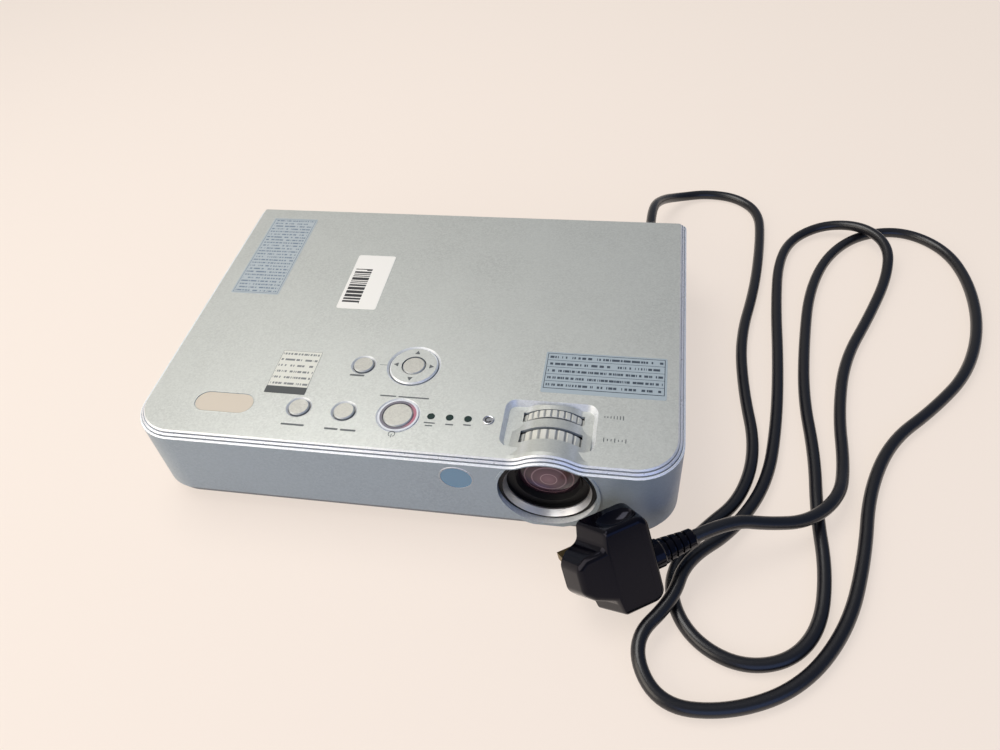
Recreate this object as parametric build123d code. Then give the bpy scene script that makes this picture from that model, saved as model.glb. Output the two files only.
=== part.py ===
from build123d import *
import math
import os

os.makedirs("parts", exist_ok=True)

# Case. The origin is on the table under the middle of the case, the lens faces -Y and +Z is up.
case_width = 297.0
case_depth = 210.0
flat_top = 60.0
foot_height = 4.0
tray_height = 8.5
tray_undercut = 8.5
case_wall = 2.4
front_corner = 25.0
rear_corner = 5.0
rear_face_y = case_depth / 2
front_face_y = -case_depth / 2
wall_bottom = foot_height + tray_height
tray_floor = foot_height + case_wall

# Stepped rim: three bevelled bands with a groove between each two
rim_step_in = 1.5
rim_step_down = 1.4
rim_lip = 1.0
rim_bevel = 0.8
groove_depth = 0.7
rim_shelf = 3.5
panel_thickness = 2.0
band_seat_drop = 2 * rim_step_down + groove_depth
flange_thickness = 2.2

# Lens axis and the hump that the top makes over it
lens_x = 81.2
lens_z = 40.0
hump_height = 5.6
hump_radius = 25.6
hump_half_width = 20.5
hump_slope = 0.185
hump_nose = 6.0
hump_ramp = 25.6
hump_tail = 10.0

# Dial bay behind the hump, with a slot for each dial
bay_x = 79.7
bay_y = -77.5
bay_width = 48.7
bay_length = 32.0
bay_corner = 6.0
bay_bevel = 2.0
bay_drop = 3.5
bay_floor_thickness = 1.6
bay_floor = flat_top - bay_drop
slot_half_width = 16.0
zoom_dial_gaps = (1.0, 0.5)
focus_dial_gaps = (0.5, 1.0)
dial_edge = 0.5
zoom_slot = (-73.6, -67.3)
focus_slot = (-89.5, -80.3)
zoom_dial_radius = 21.4
focus_dial_radius = 22.0
dial_bore = 17.0
dial_relief = 0.6
zoom_tooth_pitch = 3.5
focus_tooth_pitch = 4.6
tooth_depth = 0.7

# Lens parts, each one round the lens axis
bezel_radius = 25.2
lens_opening_gap = 0.3
trim_radius = 22.9
trim_mouth = 21.5
trim_depth = 2.8
lens_recess = 1.5
bezel_depth = 6.0
tunnel_depth = 8.5
glass_radius = 16.0
glass_thickness = 3.5
cell_wall = 1.3
cell_gap = 0.3
barrel_wall = 2.0
barrel_flange = 22.0
barrel_radius = 16.5
barrel_neck = 14.4
barrel_bore = 13.2
focus_travel = 1.0
collar_radius = 27.4
collar_drop = 1.2
collar_proud = 2.0

# Controls on the top: x, y of each
cap_gap = 0.45
cap_rise = 0.6
cap_travel = 0.8
small_cap = 5.7
small_rim = 7.25
round_rim = 1.1
rim_sink = 0.8
function_spot = (-56.3, -78.5)
input_spot = (-30.6, -78.8)
menu_spot = (-29.6, -44.0)
power_spot = (-0.6, -78.7)
power_cap = 8.0
power_ring = 10.9
nav_spot = (-0.7, -42.3)
nav_radius = 13.8
nav_hole_gap = 0.5
enter_cap = 6.4
nav_tilt_room = 1.3
nav_bracket_out = 4.0
nav_nub = 0.45
rocker_drop = 4.0
rocker_thickness = 0.9
rocker_pin_radius = 0.45
direction_key_out = 11.0
indicator_spots = [(17.2, -77.8), (27.3, -77.7), (37.1, -77.7)]
indicator_radius = 2.0
sensor_spot = (47.9, -77.3)
sensor_radius = 3.0
recess_spot = (-99.8, -79.0)
recess_length = 34.0
recess_width = 14.0
recess_depth = 0.5

# Key board under the controls
board_thickness = 1.6
key_board_size = (118.0, 66.0)
key_board_spot = (-9.0, -60.5)
key_board_top = 50.4
switch_size = 6.0
switch_height = 2.7

# Infrared window in the front
window_x = 34.5
window_z = 45.0
window_radius = 8.6
window_lip = 0.5

# Openings in the side and rear walls
grille_length = 66.0
grille_height = 34.0
grille_z = 34.0
grille_lip = 2.0
exhaust_y = 52.0
intake_y = 34.0
slat_count = 8
slat_gap = 2.4
speaker_y = -52.0
speaker_radius = 17.0
rear_panel_left = -case_width / 2 + 20.5
rear_panel_right = case_width / 2 - 62.5
rear_panel_x = (rear_panel_left + rear_panel_right) / 2
rear_panel_width = rear_panel_right - rear_panel_left
rear_panel_height = 33.0
rear_panel_z = 33.0
rear_panel_thickness = 1.5
panel_overlap = 3.0
jack_depth = 8.0
video_jack_spots = (rear_panel_x - 87, rear_panel_x - 71, rear_panel_x - 55)
audio_jack_x = rear_panel_x - 35
data_port_spots = (rear_panel_x - 5, rear_panel_x + 35, rear_panel_x + 75)
port_width = 16.8
port_height = 9.0
port_post_out = 12.5
video_jack_radius = 4.1
audio_jack_radius = 3.1

# Mains switch beside the inlet
switch_x = case_width / 2 - 50.5
switch_z = 24.0
switch_width = 15.0
switch_tall = 21.0
switch_depth = 12.0
switch_border = 1.2
rocker_width = 11.0
rocker_radius = 8.4
rocker_pivot_y = rear_face_y - 3.5
rocker_pin = 1.2
rocker_tilt = 8.0

# Mains inlet with its lead plugged in
inlet_x = case_width / 2 - 22.5
inlet_z = 24.0
inlet_width = 27.0
inlet_height = 19.8
inlet_flange = 2.0
inlet_flange_border = 1.6
inlet_depth = 20.0
socket_width = 24.6
socket_height = 16.6
socket_depth = 16.0
pin_spacing = 7.0
pin_length = 14.0
fit_gap = 0.2
connector_length = 21.0
cord_diameter = 7.0
cord_radius = cord_diameter / 2
cord_sides = 10
relief_length = 20.0
relief_radius = 6.2

# Fasteners, feet and ceiling fixings
column_radius = 5.0
column_inset = 14.5
column_height = 20.0
column_rib = 2.0
screw_radius = 1.4
screw_head = 3.0
screw_length = 16.0
foot_radius = 9.0
rear_foot_x = case_width / 2 - 28.5
rear_foot_y = case_depth / 2 - 25
front_foot_x = case_width / 2 - 36.5
front_foot_y = 29 - case_depth / 2
foot_stem = 4.0
foot_stem_length = 17.0
foot_gap = 0.3
fixing_half_x = 62.0
fixing_half_y = 50.0
fixing_radius = 2.0
insert_radius = 3.2
insert_length = 7.0

# Plug lying on its side at the end of the lead
plug_length = 42.0
plug_width = 50.0
plug_thickness = 20.0
plug_side_taper = 5.0
plug_shoulder = 19.0
plug_lean_in = 5.0
plug_step = 6.0
plug_nose_width = 27.0
plug_nose_taper = 5.0
plug_nose_fall = 14.0
plug_corner = 3.5
plug_dish_in = 12.0
plug_dish = (9.0, 5.0)
plug_dish_depth = 1.5
plug_heading = 33.2
plug_lean = 59.5
plug_edge = (136.2, -130.2)
plug_relief_length = 24.0
plug_relief_radius = 5.6
plug_exit_height = 12.0
live_pin = (4.0, 6.35, 17.7)
earth_pin = (8.0, 4.0, 22.7)
live_pin_spacing = 22.2
earth_pin_offset = 22.2
live_pin_inset = 10.0

# Interior: x0, x1, y0, y1 of each block, and its parts
board_deck = 14.0
supply_box = (-case_width / 2 + 8.5, -24.0, -66.0, -8.0)
coil_radius = 9.0
coil_height = 26.0
engine_box = (-58.0, case_width / 2 - 30.5, 10.0, case_depth / 2 - 39)
engine_top = 46.0
engine_wall = 2.5
lid_thickness = 1.6
board_lift = 3.0
lamp_box = (-case_width / 2 + 22.5, -69.0, 16.0, case_depth / 2 - 17)
prism_size = 26.0
display_panel = (24.0, 2.6)
display_gap = 1.5
fan_size = 40.0
fan_depth = 10.0
fan_hub = 9.0
fan_blades = 7

# Heights safely above and below every curve of the skin
high = 90.0
low = 10.0


def save(shape, name):
    export_step(shape, "parts/" + name + ".step")


def outline(inset):
    """Plan of the case, moved in by inset: large front corners, small rear ones."""
    plan = Rectangle(case_width - 2 * inset, case_depth - 2 * inset)
    plan = fillet(plan.vertices().group_by(Axis.Y)[0], max(front_corner - inset, 1.0))
    return fillet(plan.vertices().group_by(Axis.Y)[-1], max(rear_corner - inset, 1.0))


def prism(inset, bottom, top):
    return Pos(0, 0, bottom) * extrude(outline(inset), top - bottom)


def block(x0, x1, y0, y1, z0, z1):
    centre = Pos((x0 + x1) / 2, (y0 + y1) / 2, (z0 + z1) / 2)
    return centre * Box(x1 - x0, y1 - y0, z1 - z0)


def post(x, y, radius, bottom, top):
    return Pos(x, y, (bottom + top) / 2) * Cylinder(radius, top - bottom)


def lens_disc(radius, front, back):
    """Round piece on the lens axis, from y = front to y = back."""
    place = Pos(lens_x, (front + back) / 2, lens_z) * Rot(90, 0, 0)
    return place * Cylinder(radius, back - front)


def lens_turn(profile):
    """Solid turned about the lens axis from (radius, y) points."""
    points = [(lens_x + radius, y) for radius, y in profile]
    face = Pos(0, 0, lens_z) * make_face(Polyline(*points, close=True))
    axis = Axis((lens_x, 0, lens_z), (0, 1, 0))
    return revolve(face, axis)


def rounded_plate(width, length, corner, bottom, top):
    return Pos(0, 0, bottom) * extrude(RectangleRounded(width, length, corner), top - bottom)


# Hump over the lens


def hump_face(y, drop):
    """Bell outline across the lens axis: a crown arc and a hollow arc each side, all tangent."""
    angle = 2 * math.atan(hump_height / hump_half_width)
    hollow = hump_half_width / math.sin(angle) - hump_radius
    shoulder = flat_top - drop
    crown_x = hump_radius * math.sin(angle)
    crown_z = shoulder + hump_height - hump_radius * (1 - math.cos(angle))
    half_x = hump_half_width - hollow * math.sin(angle / 2)
    half_z = shoulder + hollow * (1 - math.cos(angle / 2))
    left = (-hump_half_width, shoulder)
    right = (hump_half_width, shoulder)
    edges = [
        ThreePointArc(left, (-half_x, half_z), (-crown_x, crown_z)),
        ThreePointArc((-crown_x, crown_z), (0, shoulder + hump_height), (crown_x, crown_z)),
        ThreePointArc((crown_x, crown_z), (half_x, half_z), right),
        Polyline(right, (hump_half_width, low), (-hump_half_width, low), left),
    ]
    return Plane((lens_x, y, 0), x_dir=(1, 0, 0), z_dir=(0, -1, 0)) * make_face(edges)


def hump(drop, tail_trim=0.0):
    """The hump runs level at the front, slopes down over the dials and ends in a rounded tail."""
    start = front_face_y - 2.0
    ramp_start = front_face_y + hump_nose
    fall = hump_slope * hump_ramp
    tail_start = ramp_start + hump_ramp
    nose = extrude(hump_face(start, drop), ramp_start - start, dir=(0, 1, 0))
    slope = Vector(0, hump_ramp, -fall)
    ramp = extrude(hump_face(ramp_start, drop), slope.length, dir=slope.normalized())
    tail_end = tail_start + hump_tail - tail_trim
    tail = extrude(hump_face(tail_start, drop + fall), tail_end - tail_start, dir=(0, 1, 0))
    ridge = flat_top + hump_height - fall - drop
    cap = block(lens_x - 30, lens_x + 30, tail_start - 8, tail_end, low - 10, ridge + 2)
    rear_top = cap.edges().filter_by(Axis.X).group_by(Axis.Z)[-1].sort_by(Axis.Y)[-1]
    return nose + ramp + (tail & fillet(rear_top, 5.0))


def under_skin(drop):
    """All the space below the top surface, when that surface is moved down by drop."""
    flat = block(-case_width, case_width, -case_depth, case_depth, low, flat_top - drop)
    front_hump = hump(drop) & block(-case_width, case_width, -case_depth, bay_y, low, high)
    return flat + front_hump


def rim_ring(outer_inset, inner_inset, top_drop, bottom_drop):
    """Ring along the case outline that follows the hump."""
    ring = prism(outer_inset, low + 5, high) - prism(inner_inset, low + 5, high)
    return (ring & under_skin(top_drop)) - under_skin(bottom_drop)


def on_outline(point, inset):
    half_x = case_width / 2 - inset
    half_y = case_depth / 2 - inset
    corner = max((front_corner if point.Y < 0 else rear_corner) - inset, 1.0)
    beyond_x = abs(point.X) - (half_x - corner)
    beyond_y = abs(point.Y) - (half_y - corner)
    if beyond_x > 0 and beyond_y > 0:
        return abs(math.hypot(beyond_x, beyond_y) - corner) < 0.01
    return abs(max(abs(point.X) - half_x, abs(point.Y) - half_y)) < 0.01


def bevel_top(solid, inset, top_drop):
    """Bevel the outer top edge of a rim piece, over the hump too."""
    picked = []
    for edge in solid.edges():
        spots = [edge.position_at(t) for t in (0.02, 0.5, 0.98)]
        outside = all(on_outline(spot, inset) for spot in spots)
        if outside and all(spot.Z > flat_top - top_drop - 0.01 for spot in spots):
            picked.append(edge)
    return chamfer(picked, rim_bevel)


# Top panel, trim band, upper case and bottom tray


def dial_slot(slot, radius):
    """Slot in the bay floor for a dial, and the relief that the dial turns in."""
    front, rear = slot
    opening = block(lens_x - slot_half_width, lens_x + slot_half_width, front, rear, low, high)
    relief = lens_disc(radius + dial_relief, front, rear)
    return opening + relief


def cap_hole(spot, hole_radius, rim_radius):
    """Hole for a key cap with a bevelled rim."""
    x, y = spot
    through = post(x, y, hole_radius, flat_top - 6, flat_top + 1)
    rim_centre = Pos(x, y, flat_top - rim_sink / 2)
    return through + rim_centre * Cone(hole_radius, rim_radius, rim_sink)


def make_top_panel():
    skin = prism(2 * rim_step_in, low + 5, high)
    plate = (skin & under_skin(0)) - under_skin(panel_thickness)
    plate = bevel_top(plate, 2 * rim_step_in, 0)
    front_hump = hump(0) & block(-case_width, case_width, bay_y - bay_length / 2, 0, low, high)
    tub_wall = bay_floor_thickness
    tub = rounded_plate(
        bay_width - 2 * bay_bevel + 2 * tub_wall,
        bay_length - 2 * bay_bevel + 2 * tub_wall,
        bay_corner,
        bay_floor - bay_floor_thickness,
        flat_top,
    )
    floor_face = RectangleRounded(bay_width - 2 * bay_bevel, bay_length - 2 * bay_bevel, 4.0)
    mouth_face = RectangleRounded(bay_width, bay_length, bay_corner)
    pocket = loft([Pos(0, 0, bay_floor) * floor_face, Pos(0, 0, flat_top) * mouth_face])
    pocket += rounded_plate(bay_width, bay_length, bay_corner, flat_top, high)
    place = Pos(bay_x, bay_y, 0)
    dome_space = prism(2 * rim_step_in, bay_floor - bay_floor_thickness, high)
    dome = front_hump & (place * rounded_plate(bay_width, bay_length, bay_corner, low, high)) & dome_space
    panel = plate + place * tub - place * pocket + dome
    panel -= hump(panel_thickness, panel_thickness) & block(0, case_width, front_face_y, 0, low, high)
    panel -= dial_slot(zoom_slot, zoom_dial_radius)
    panel -= dial_slot(focus_slot, focus_dial_radius)
    for spot in (function_spot, input_spot, menu_spot):
        panel -= cap_hole(spot, small_cap + cap_gap, small_rim)
    panel -= cap_hole(power_spot, power_ring + 0.1, power_ring + round_rim)
    nav_hole = nav_radius + nav_hole_gap
    panel -= cap_hole(nav_spot, nav_hole, nav_hole + round_rim)
    for spot in indicator_spots:
        panel -= post(*spot, indicator_radius + 0.1, flat_top - 6, flat_top + 1)
    panel -= post(*sensor_spot, sensor_radius + 0.1, flat_top - 6, flat_top + 1)
    recess = SlotOverall(recess_length, recess_width)
    panel -= Pos(*recess_spot, flat_top - recess_depth) * extrude(recess, recess_depth + 1)
    under = flat_top - panel_thickness
    for x, y in board_posts():
        panel += post(x, y, 3.0, key_board_top, under)
    x, y = nav_spot
    for side in (-1, 1):
        bracket_x = x + side * (nav_radius + nav_bracket_out)
        panel += block(bracket_x - 2, bracket_x + 2, y - 3, y + 3, under - rocker_drop - 1.2, under)
        slot_top = under - rocker_drop + rocker_thickness + 0.5
        panel -= block(bracket_x - 3, bracket_x + 3, y - 1.5, y + 1.5, under - rocker_drop - 0.4, slot_top)
    return panel


def board_posts():
    half_x = key_board_size[0] / 2 - 5
    half_y = key_board_size[1] / 2 - 5
    x, y = key_board_spot
    return [(x + sx * half_x, y + sy * half_y) for sx in (-1, 1) for sy in (-1, 1)]


def make_trim_band():
    lip_inset = rim_step_in + rim_lip
    lip = rim_ring(rim_step_in, lip_inset, rim_step_down, band_seat_drop)
    lip = bevel_top(lip, rim_step_in, rim_step_down)
    shelf = rim_ring(lip_inset, lip_inset + rim_shelf, panel_thickness, band_seat_drop)
    return lip + shelf


def column_spots():
    """Screw columns: x, y and the direction of the wall that each one stands beside."""
    side = case_width / 2 - column_inset
    end = case_depth / 2 - column_inset
    left, right, front, rear = (-1, 0), (1, 0), (0, -1), (0, 1)
    return [
        (-side, 6.0, left),
        (side, -12.0, right),
        (-60.0, -end, front),
        (10.0, -end, front),
        (-side, end, rear),
        (side, 76.0, right),
    ]


def lens_opening(gap):
    """Round opening for the lens, kept below the rim where the circle would reach it."""
    circle = lens_disc(bezel_radius + gap, front_face_y - 5, front_face_y + 12)
    return circle & under_skin(band_seat_drop + 0.8)


def make_upper_case():
    walls = prism(0, wall_bottom, low + 5) - prism(case_wall, wall_bottom, low + 5)
    rim_wall = prism(0, low + 5, high) - prism(case_wall, low + 5, high)
    walls += rim_wall & under_skin(band_seat_drop)
    lip = rim_ring(0, rim_lip, 2 * rim_step_down, band_seat_drop + 2)
    walls += bevel_top(lip, 0, 2 * rim_step_down)
    flange_inner = rim_step_in + rim_lip + rim_shelf
    walls += rim_ring(case_wall, flange_inner, band_seat_drop, band_seat_drop + flange_thickness)
    reach = column_inset - case_wall / 2
    for x, y, (wall_x, wall_y) in column_spots():
        column_top = wall_bottom + column_height
        walls += post(x, y, column_radius, wall_bottom, column_top)
        rib = Box(reach * abs(wall_x) + column_rib, reach * abs(wall_y) + column_rib, column_height)
        walls += Pos(x + wall_x * reach / 2, y + wall_y * reach / 2, wall_bottom + column_height / 2) * rib
    collar = lens_collar()
    walls += collar
    walls -= lens_opening(lens_opening_gap)
    front = Pos(window_x, front_face_y, window_z) * Rot(90, 0, 0)
    walls -= front * Cylinder(window_radius + 0.1, 10)
    side_x = case_width / 2
    for side, y in ((-1, exhaust_y), (1, intake_y)):
        walls -= Pos(side * side_x, y, grille_z) * Box(10, grille_length, grille_height)
    for row in range(-3, 4):
        height = 2 * math.sqrt((speaker_radius - 2) ** 2 - (row * 4.4) ** 2)
        walls -= Pos(side_x, speaker_y + row * 4.4, grille_z) * Box(10, 2.2, height)
    rear = Pos(rear_panel_x, rear_face_y, rear_panel_z)
    walls -= rear * Box(rear_panel_width, 10, rear_panel_height)
    walls -= Pos(inlet_x, rear_face_y, inlet_z) * Box(inlet_width + 0.2, 10, inlet_height + 0.2)
    opening = Box(switch_width + 0.2, 10, switch_tall + 0.2)
    walls -= Pos(switch_x, rear_face_y, switch_z) * opening
    for x, y, _ in column_spots():
        walls -= post(x, y, screw_radius + 0.05, wall_bottom - 1, wall_bottom + screw_length)
    return walls


def lens_collar():
    """Lip of the front wall that grows out round the lower half of the lens."""
    centre = Pos(lens_x, front_face_y - collar_proud / 2, lens_z - collar_drop) * Rot(90, 0, 0)
    ring = centre * Cylinder(collar_radius, collar_proud)
    lean = math.degrees(math.atan(collar_proud / 44.0))
    cutter = Pos(0, -10, 0) * Box(case_width, 20, 200)
    wedge = Pos(lens_x, front_face_y - collar_proud, wall_bottom + 2) * Rot(-lean, 0, 0) * cutter
    ring -= wedge
    return ring & block(0, case_width, -case_depth, front_face_y, wall_bottom, lens_z + 14)


def tray_sections(wall):
    """Heights and insets of the curved undercut, moved in by the wall for the inside."""
    sections = []
    for rise, inset in ((0.0, 1.0), (0.35, 0.3), (1.0, 0.0)):
        height = foot_height + tray_height * rise
        if rise < 1:
            height += wall
        sections.append(Pos(0, 0, height) * outline(tray_undercut * inset + wall))
    return sections


def tray_body(wall):
    sections = tray_sections(wall)
    return loft(sections, ruled=True)


def foot_spots():
    return [(-front_foot_x, front_foot_y), (front_foot_x, front_foot_y)]


def fixing_spots():
    return [(sx * fixing_half_x, sy * fixing_half_y) for sx in (-1, 1) for sy in (-1, 1)]


def make_bottom_tray():
    tray = tray_body(0) - tray_body(case_wall)
    for x, y, _ in column_spots():
        tray += post(x, y, column_radius, foot_height, wall_bottom)
        tray -= post(x, y, screw_head + 0.3, 0, wall_bottom - 3)
        tray -= post(x, y, screw_radius + 0.2, 0, wall_bottom + 1)
    for x, y in foot_spots():
        tray += post(x, y, foot_stem + 3, foot_height, foot_height + foot_stem_length + 1)
        tray -= post(x, y, foot_stem + foot_gap, 0, foot_height + foot_stem_length)
    for x, y in fixing_spots():
        tray += post(x, y, insert_radius + 2.5, foot_height, foot_height + insert_length + 2)
        tray -= post(x, y, insert_radius, 0, foot_height + insert_length)
    for centre in support_spots():
        tray += post(*centre, 4.0, tray_floor - 1, board_deck)
    lamp_door = lamp_door_box()
    tray -= block(*lamp_door, foot_height - 1, foot_height + case_wall + 0.5)
    return tray


# Interior, standing on posts of the tray


def lamp_door_box():
    x0, x1, y0, y1 = lamp_box
    return (x0 + 6, x1 - 6, y0 + 6, y1 - 6)


def support_spots():
    spots = []
    for x0, x1, y0, y1 in (supply_box, engine_box):
        spots += [(x0 + 6, y0 + 6), (x1 - 6, y0 + 6), (x0 + 6, y1 - 6), (x1 - 6, y1 - 6)]
    return spots


def make_interior():
    x0, x1, y0, y1 = supply_box
    supply = block(x0, x1, y0, y1, board_deck, board_deck + board_thickness)
    supply += block(x0 + 8, x0 + 40, y0 + 12, y1 - 8, board_deck, 36)
    supply += block(x0 + 50, x0 + 74, y0 + 6, y1 - 20, board_deck, 32)
    supply += post(x1 - 20, y0 + 22, coil_radius, board_deck, board_deck + coil_height)
    save(supply, "power_supply")

    x0, x1, y0, y1 = engine_box
    wall = engine_wall
    housing = block(x0, x1, y0, y1, board_deck, engine_top)
    housing -= block(x0 + wall, x1 - wall, y0 + wall, y1 - wall, board_deck + wall, engine_top + 1)
    mouth = lens_disc(barrel_bore - 1.0, y0 - 1, y0 + wall + 1)
    housing -= mouth & block(0, case_width, -case_depth, case_depth, 0, engine_top - 3)
    housing -= block(x0 - 1, x0 + wall + 1, y0 + 14, y1 - 14, board_deck + 8, engine_top - 4)
    save(housing, "engine_housing")
    lid_top = engine_top + lid_thickness
    save(block(x0, x1, y0, y1, engine_top, lid_top), "engine_lid")
    board_bottom = lid_top + board_lift
    board = block(x0 + 12, x1 - 50, y0 + 8, y1 - 8, board_bottom, board_bottom + board_thickness)
    for x in (x0 + 17, x1 - 55):
        for y in (y0 + 12, y1 - 12):
            board += post(x, y, 2.5, lid_top, board_bottom)
    save(board, "main_board")
    prism_y = y0 + wall + 6 + prism_size / 2
    prism_z = board_deck + wall
    cube = Pos(lens_x, prism_y, prism_z + prism_size / 2) * Box(prism_size, prism_size, prism_size)
    save(cube, "prism_block")
    panel_width, panel_depth = display_panel
    gap = prism_size / 2 + display_gap
    panels = []
    for turn in (0, 90, 180):
        place = Pos(lens_x, prism_y, prism_z + prism_size / 2) * Rot(0, 0, turn)
        panels.append(place * Pos(gap, 0, 0) * Box(panel_depth, panel_width, prism_size))
    save(Compound(panels), "lcd_panels")

    x0, x1, y0, y1 = lamp_box
    cover_top = foot_height + case_wall
    lamp = block(x0, x1, y0, y1, cover_top + 0.6, engine_top)
    reflector_y = (y0 + y1) / 2
    mouth = Pos(x1, reflector_y, 28) * Rot(0, 90, 0) * Cone(8, 15, 44)
    lamp -= mouth & block(x0, x1 + 1, y0, y1, 0, 50)
    save(lamp, "lamp_module")
    x0, x1, y0, y1 = lamp_door_box()
    door = block(x0 + fit_gap, x1 - fit_gap, y0 + fit_gap, y1 - fit_gap, foot_height, cover_top + 0.5)
    save(door, "lamp_cover")


def press_key(spot, cap_radius, name):
    """Key: domed cap above the panel, flange under it and a stem down to its switch."""
    x, y = spot
    under = flat_top - panel_thickness
    cap = post(x, y, cap_radius, under - 1.2, flat_top + cap_rise)
    cap = chamfer(cap.edges().group_by(Axis.Z)[-1], cap_rise)
    cap += post(x, y, cap_radius + 1.6, under - 1.4, under - 0.2)
    stem_end = key_board_top + switch_height + cap_travel + 0.1
    cap += post(x, y, 2.0, stem_end, under - 1.2)
    save(cap, name)


def make_controls():
    press_key(function_spot, small_cap, "function_button")
    press_key(input_spot, small_cap, "input_button")
    press_key(menu_spot, small_cap, "menu_button")
    press_key(power_spot, power_cap, "power_button")
    press_key(nav_spot, enter_cap, "enter_button")

    under = flat_top - panel_thickness
    x, y = power_spot
    ring = post(x, y, power_ring, under - 1, flat_top + 0.1)
    ring += post(x, y, power_ring + 1.6, under - 1.2, under)
    ring -= post(x, y, power_cap + cap_gap, under - 2, flat_top + 1)
    ring -= post(x, y, power_cap + 1.6 + cap_gap, under - 3, under + 0.2)
    save(ring, "power_light_ring")

    x, y = nav_spot
    pad = post(x, y, nav_radius, under - 2.2, flat_top + 0.4)
    pad = chamfer(pad.edges().group_by(Axis.Z)[-1], 0.8)
    pad += post(x, y, nav_radius + 1.4, under - 2.2, under - nav_tilt_room)
    pad -= post(x, y, enter_cap + 0.6, under - 3, flat_top + 1)
    pad -= post(x, y, enter_cap + 1.6 + 0.6, under - 3, under + 0.6)
    rocker_bottom = under - rocker_drop
    rocker_top = rocker_bottom + rocker_thickness
    rocker = post(x, y, nav_radius - 1, rocker_bottom, rocker_top)
    rocker -= post(x, y, enter_cap + 2.6, rocker_bottom - 1, rocker_top + 1)
    for side in (-1, 1):
        nub = Pos(x, y + side * direction_key_out, rocker_top + nav_nub) * Rot(90, 0, 0)
        pad += nub * Cylinder(nav_nub, 2)
        pin_x = x + side * (nav_radius + 0.8)
        pin_place = Pos(pin_x, y, (rocker_bottom + rocker_top) / 2) * Rot(0, 90, 0)
        rocker += pin_place * Cylinder(rocker_pin_radius, 5.2)
    save(pad, "nav_pad")
    save(rocker, "nav_rocker")

    guides = [post(*spot, indicator_radius, key_board_top, flat_top + 0.2) for spot in indicator_spots]
    save(Compound(guides), "indicator_guides")
    sensor = post(*sensor_spot, sensor_radius, under - 1, flat_top + 0.2)
    sensor += post(*sensor_spot, sensor_radius + 1, under - 1, under)
    save(sensor, "light_sensor")

    width, length = key_board_size
    board_x, board_y = key_board_spot
    board = Pos(board_x, board_y, key_board_top - board_thickness / 2) * Box(width, length, board_thickness)
    save(board, "key_board")
    spots = [function_spot, input_spot, menu_spot, power_spot, nav_spot]
    reach = direction_key_out
    spots += [(x + dx, y + dy) for dx, dy in ((0, reach), (0, -reach), (reach, 0), (-reach, 0))]
    switches = []
    for switch_x, switch_y in spots:
        place = Pos(switch_x, switch_y, key_board_top + switch_height / 2)
        switches.append(place * Box(switch_size, switch_size, switch_height))
    save(Compound(switches), "key_switches")

    place = Pos(window_x, front_face_y + 1.2, window_z) * Rot(90, 0, 0)
    window = place * Cylinder(window_radius, 2.4)
    lip_place = Pos(window_x, front_face_y + case_wall + 0.6, window_z) * Rot(90, 0, 0)
    window += lip_place * Cylinder(window_radius + window_lip, 1.2)
    save(window, "ir_window")


# Projection lens


def dial(slot, radius, gaps, tooth_pitch, name):
    """Toothed ring on the lens barrel, turned by a fingertip through its slot."""
    front, rear = slot[0] + gaps[0], slot[1] - gaps[1]
    count = round(2 * math.pi * radius / tooth_pitch)
    points = []
    for tooth in range(count):
        for share, depth in ((0.0, 0.0), (0.55, 0.0), (0.7, tooth_depth), (0.85, tooth_depth)):
            angle = 2 * math.pi * (tooth + share) / count
            reach = radius - depth
            points.append((reach * math.cos(angle), reach * math.sin(angle)))
    face = make_face(Polyline(*points, close=True)) - Circle(dial_bore)
    ring = Pos(lens_x, rear, lens_z) * Rot(90, 0, 0) * extrude(face, rear - front)
    blank = lens_turn([
        (dial_bore - 1, front),
        (radius - dial_edge, front),
        (radius + 0.01, front + dial_edge),
        (radius + 0.01, rear - dial_edge),
        (radius - dial_edge, rear),
        (dial_bore - 1, rear),
    ])
    save(ring & blank, name)


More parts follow.
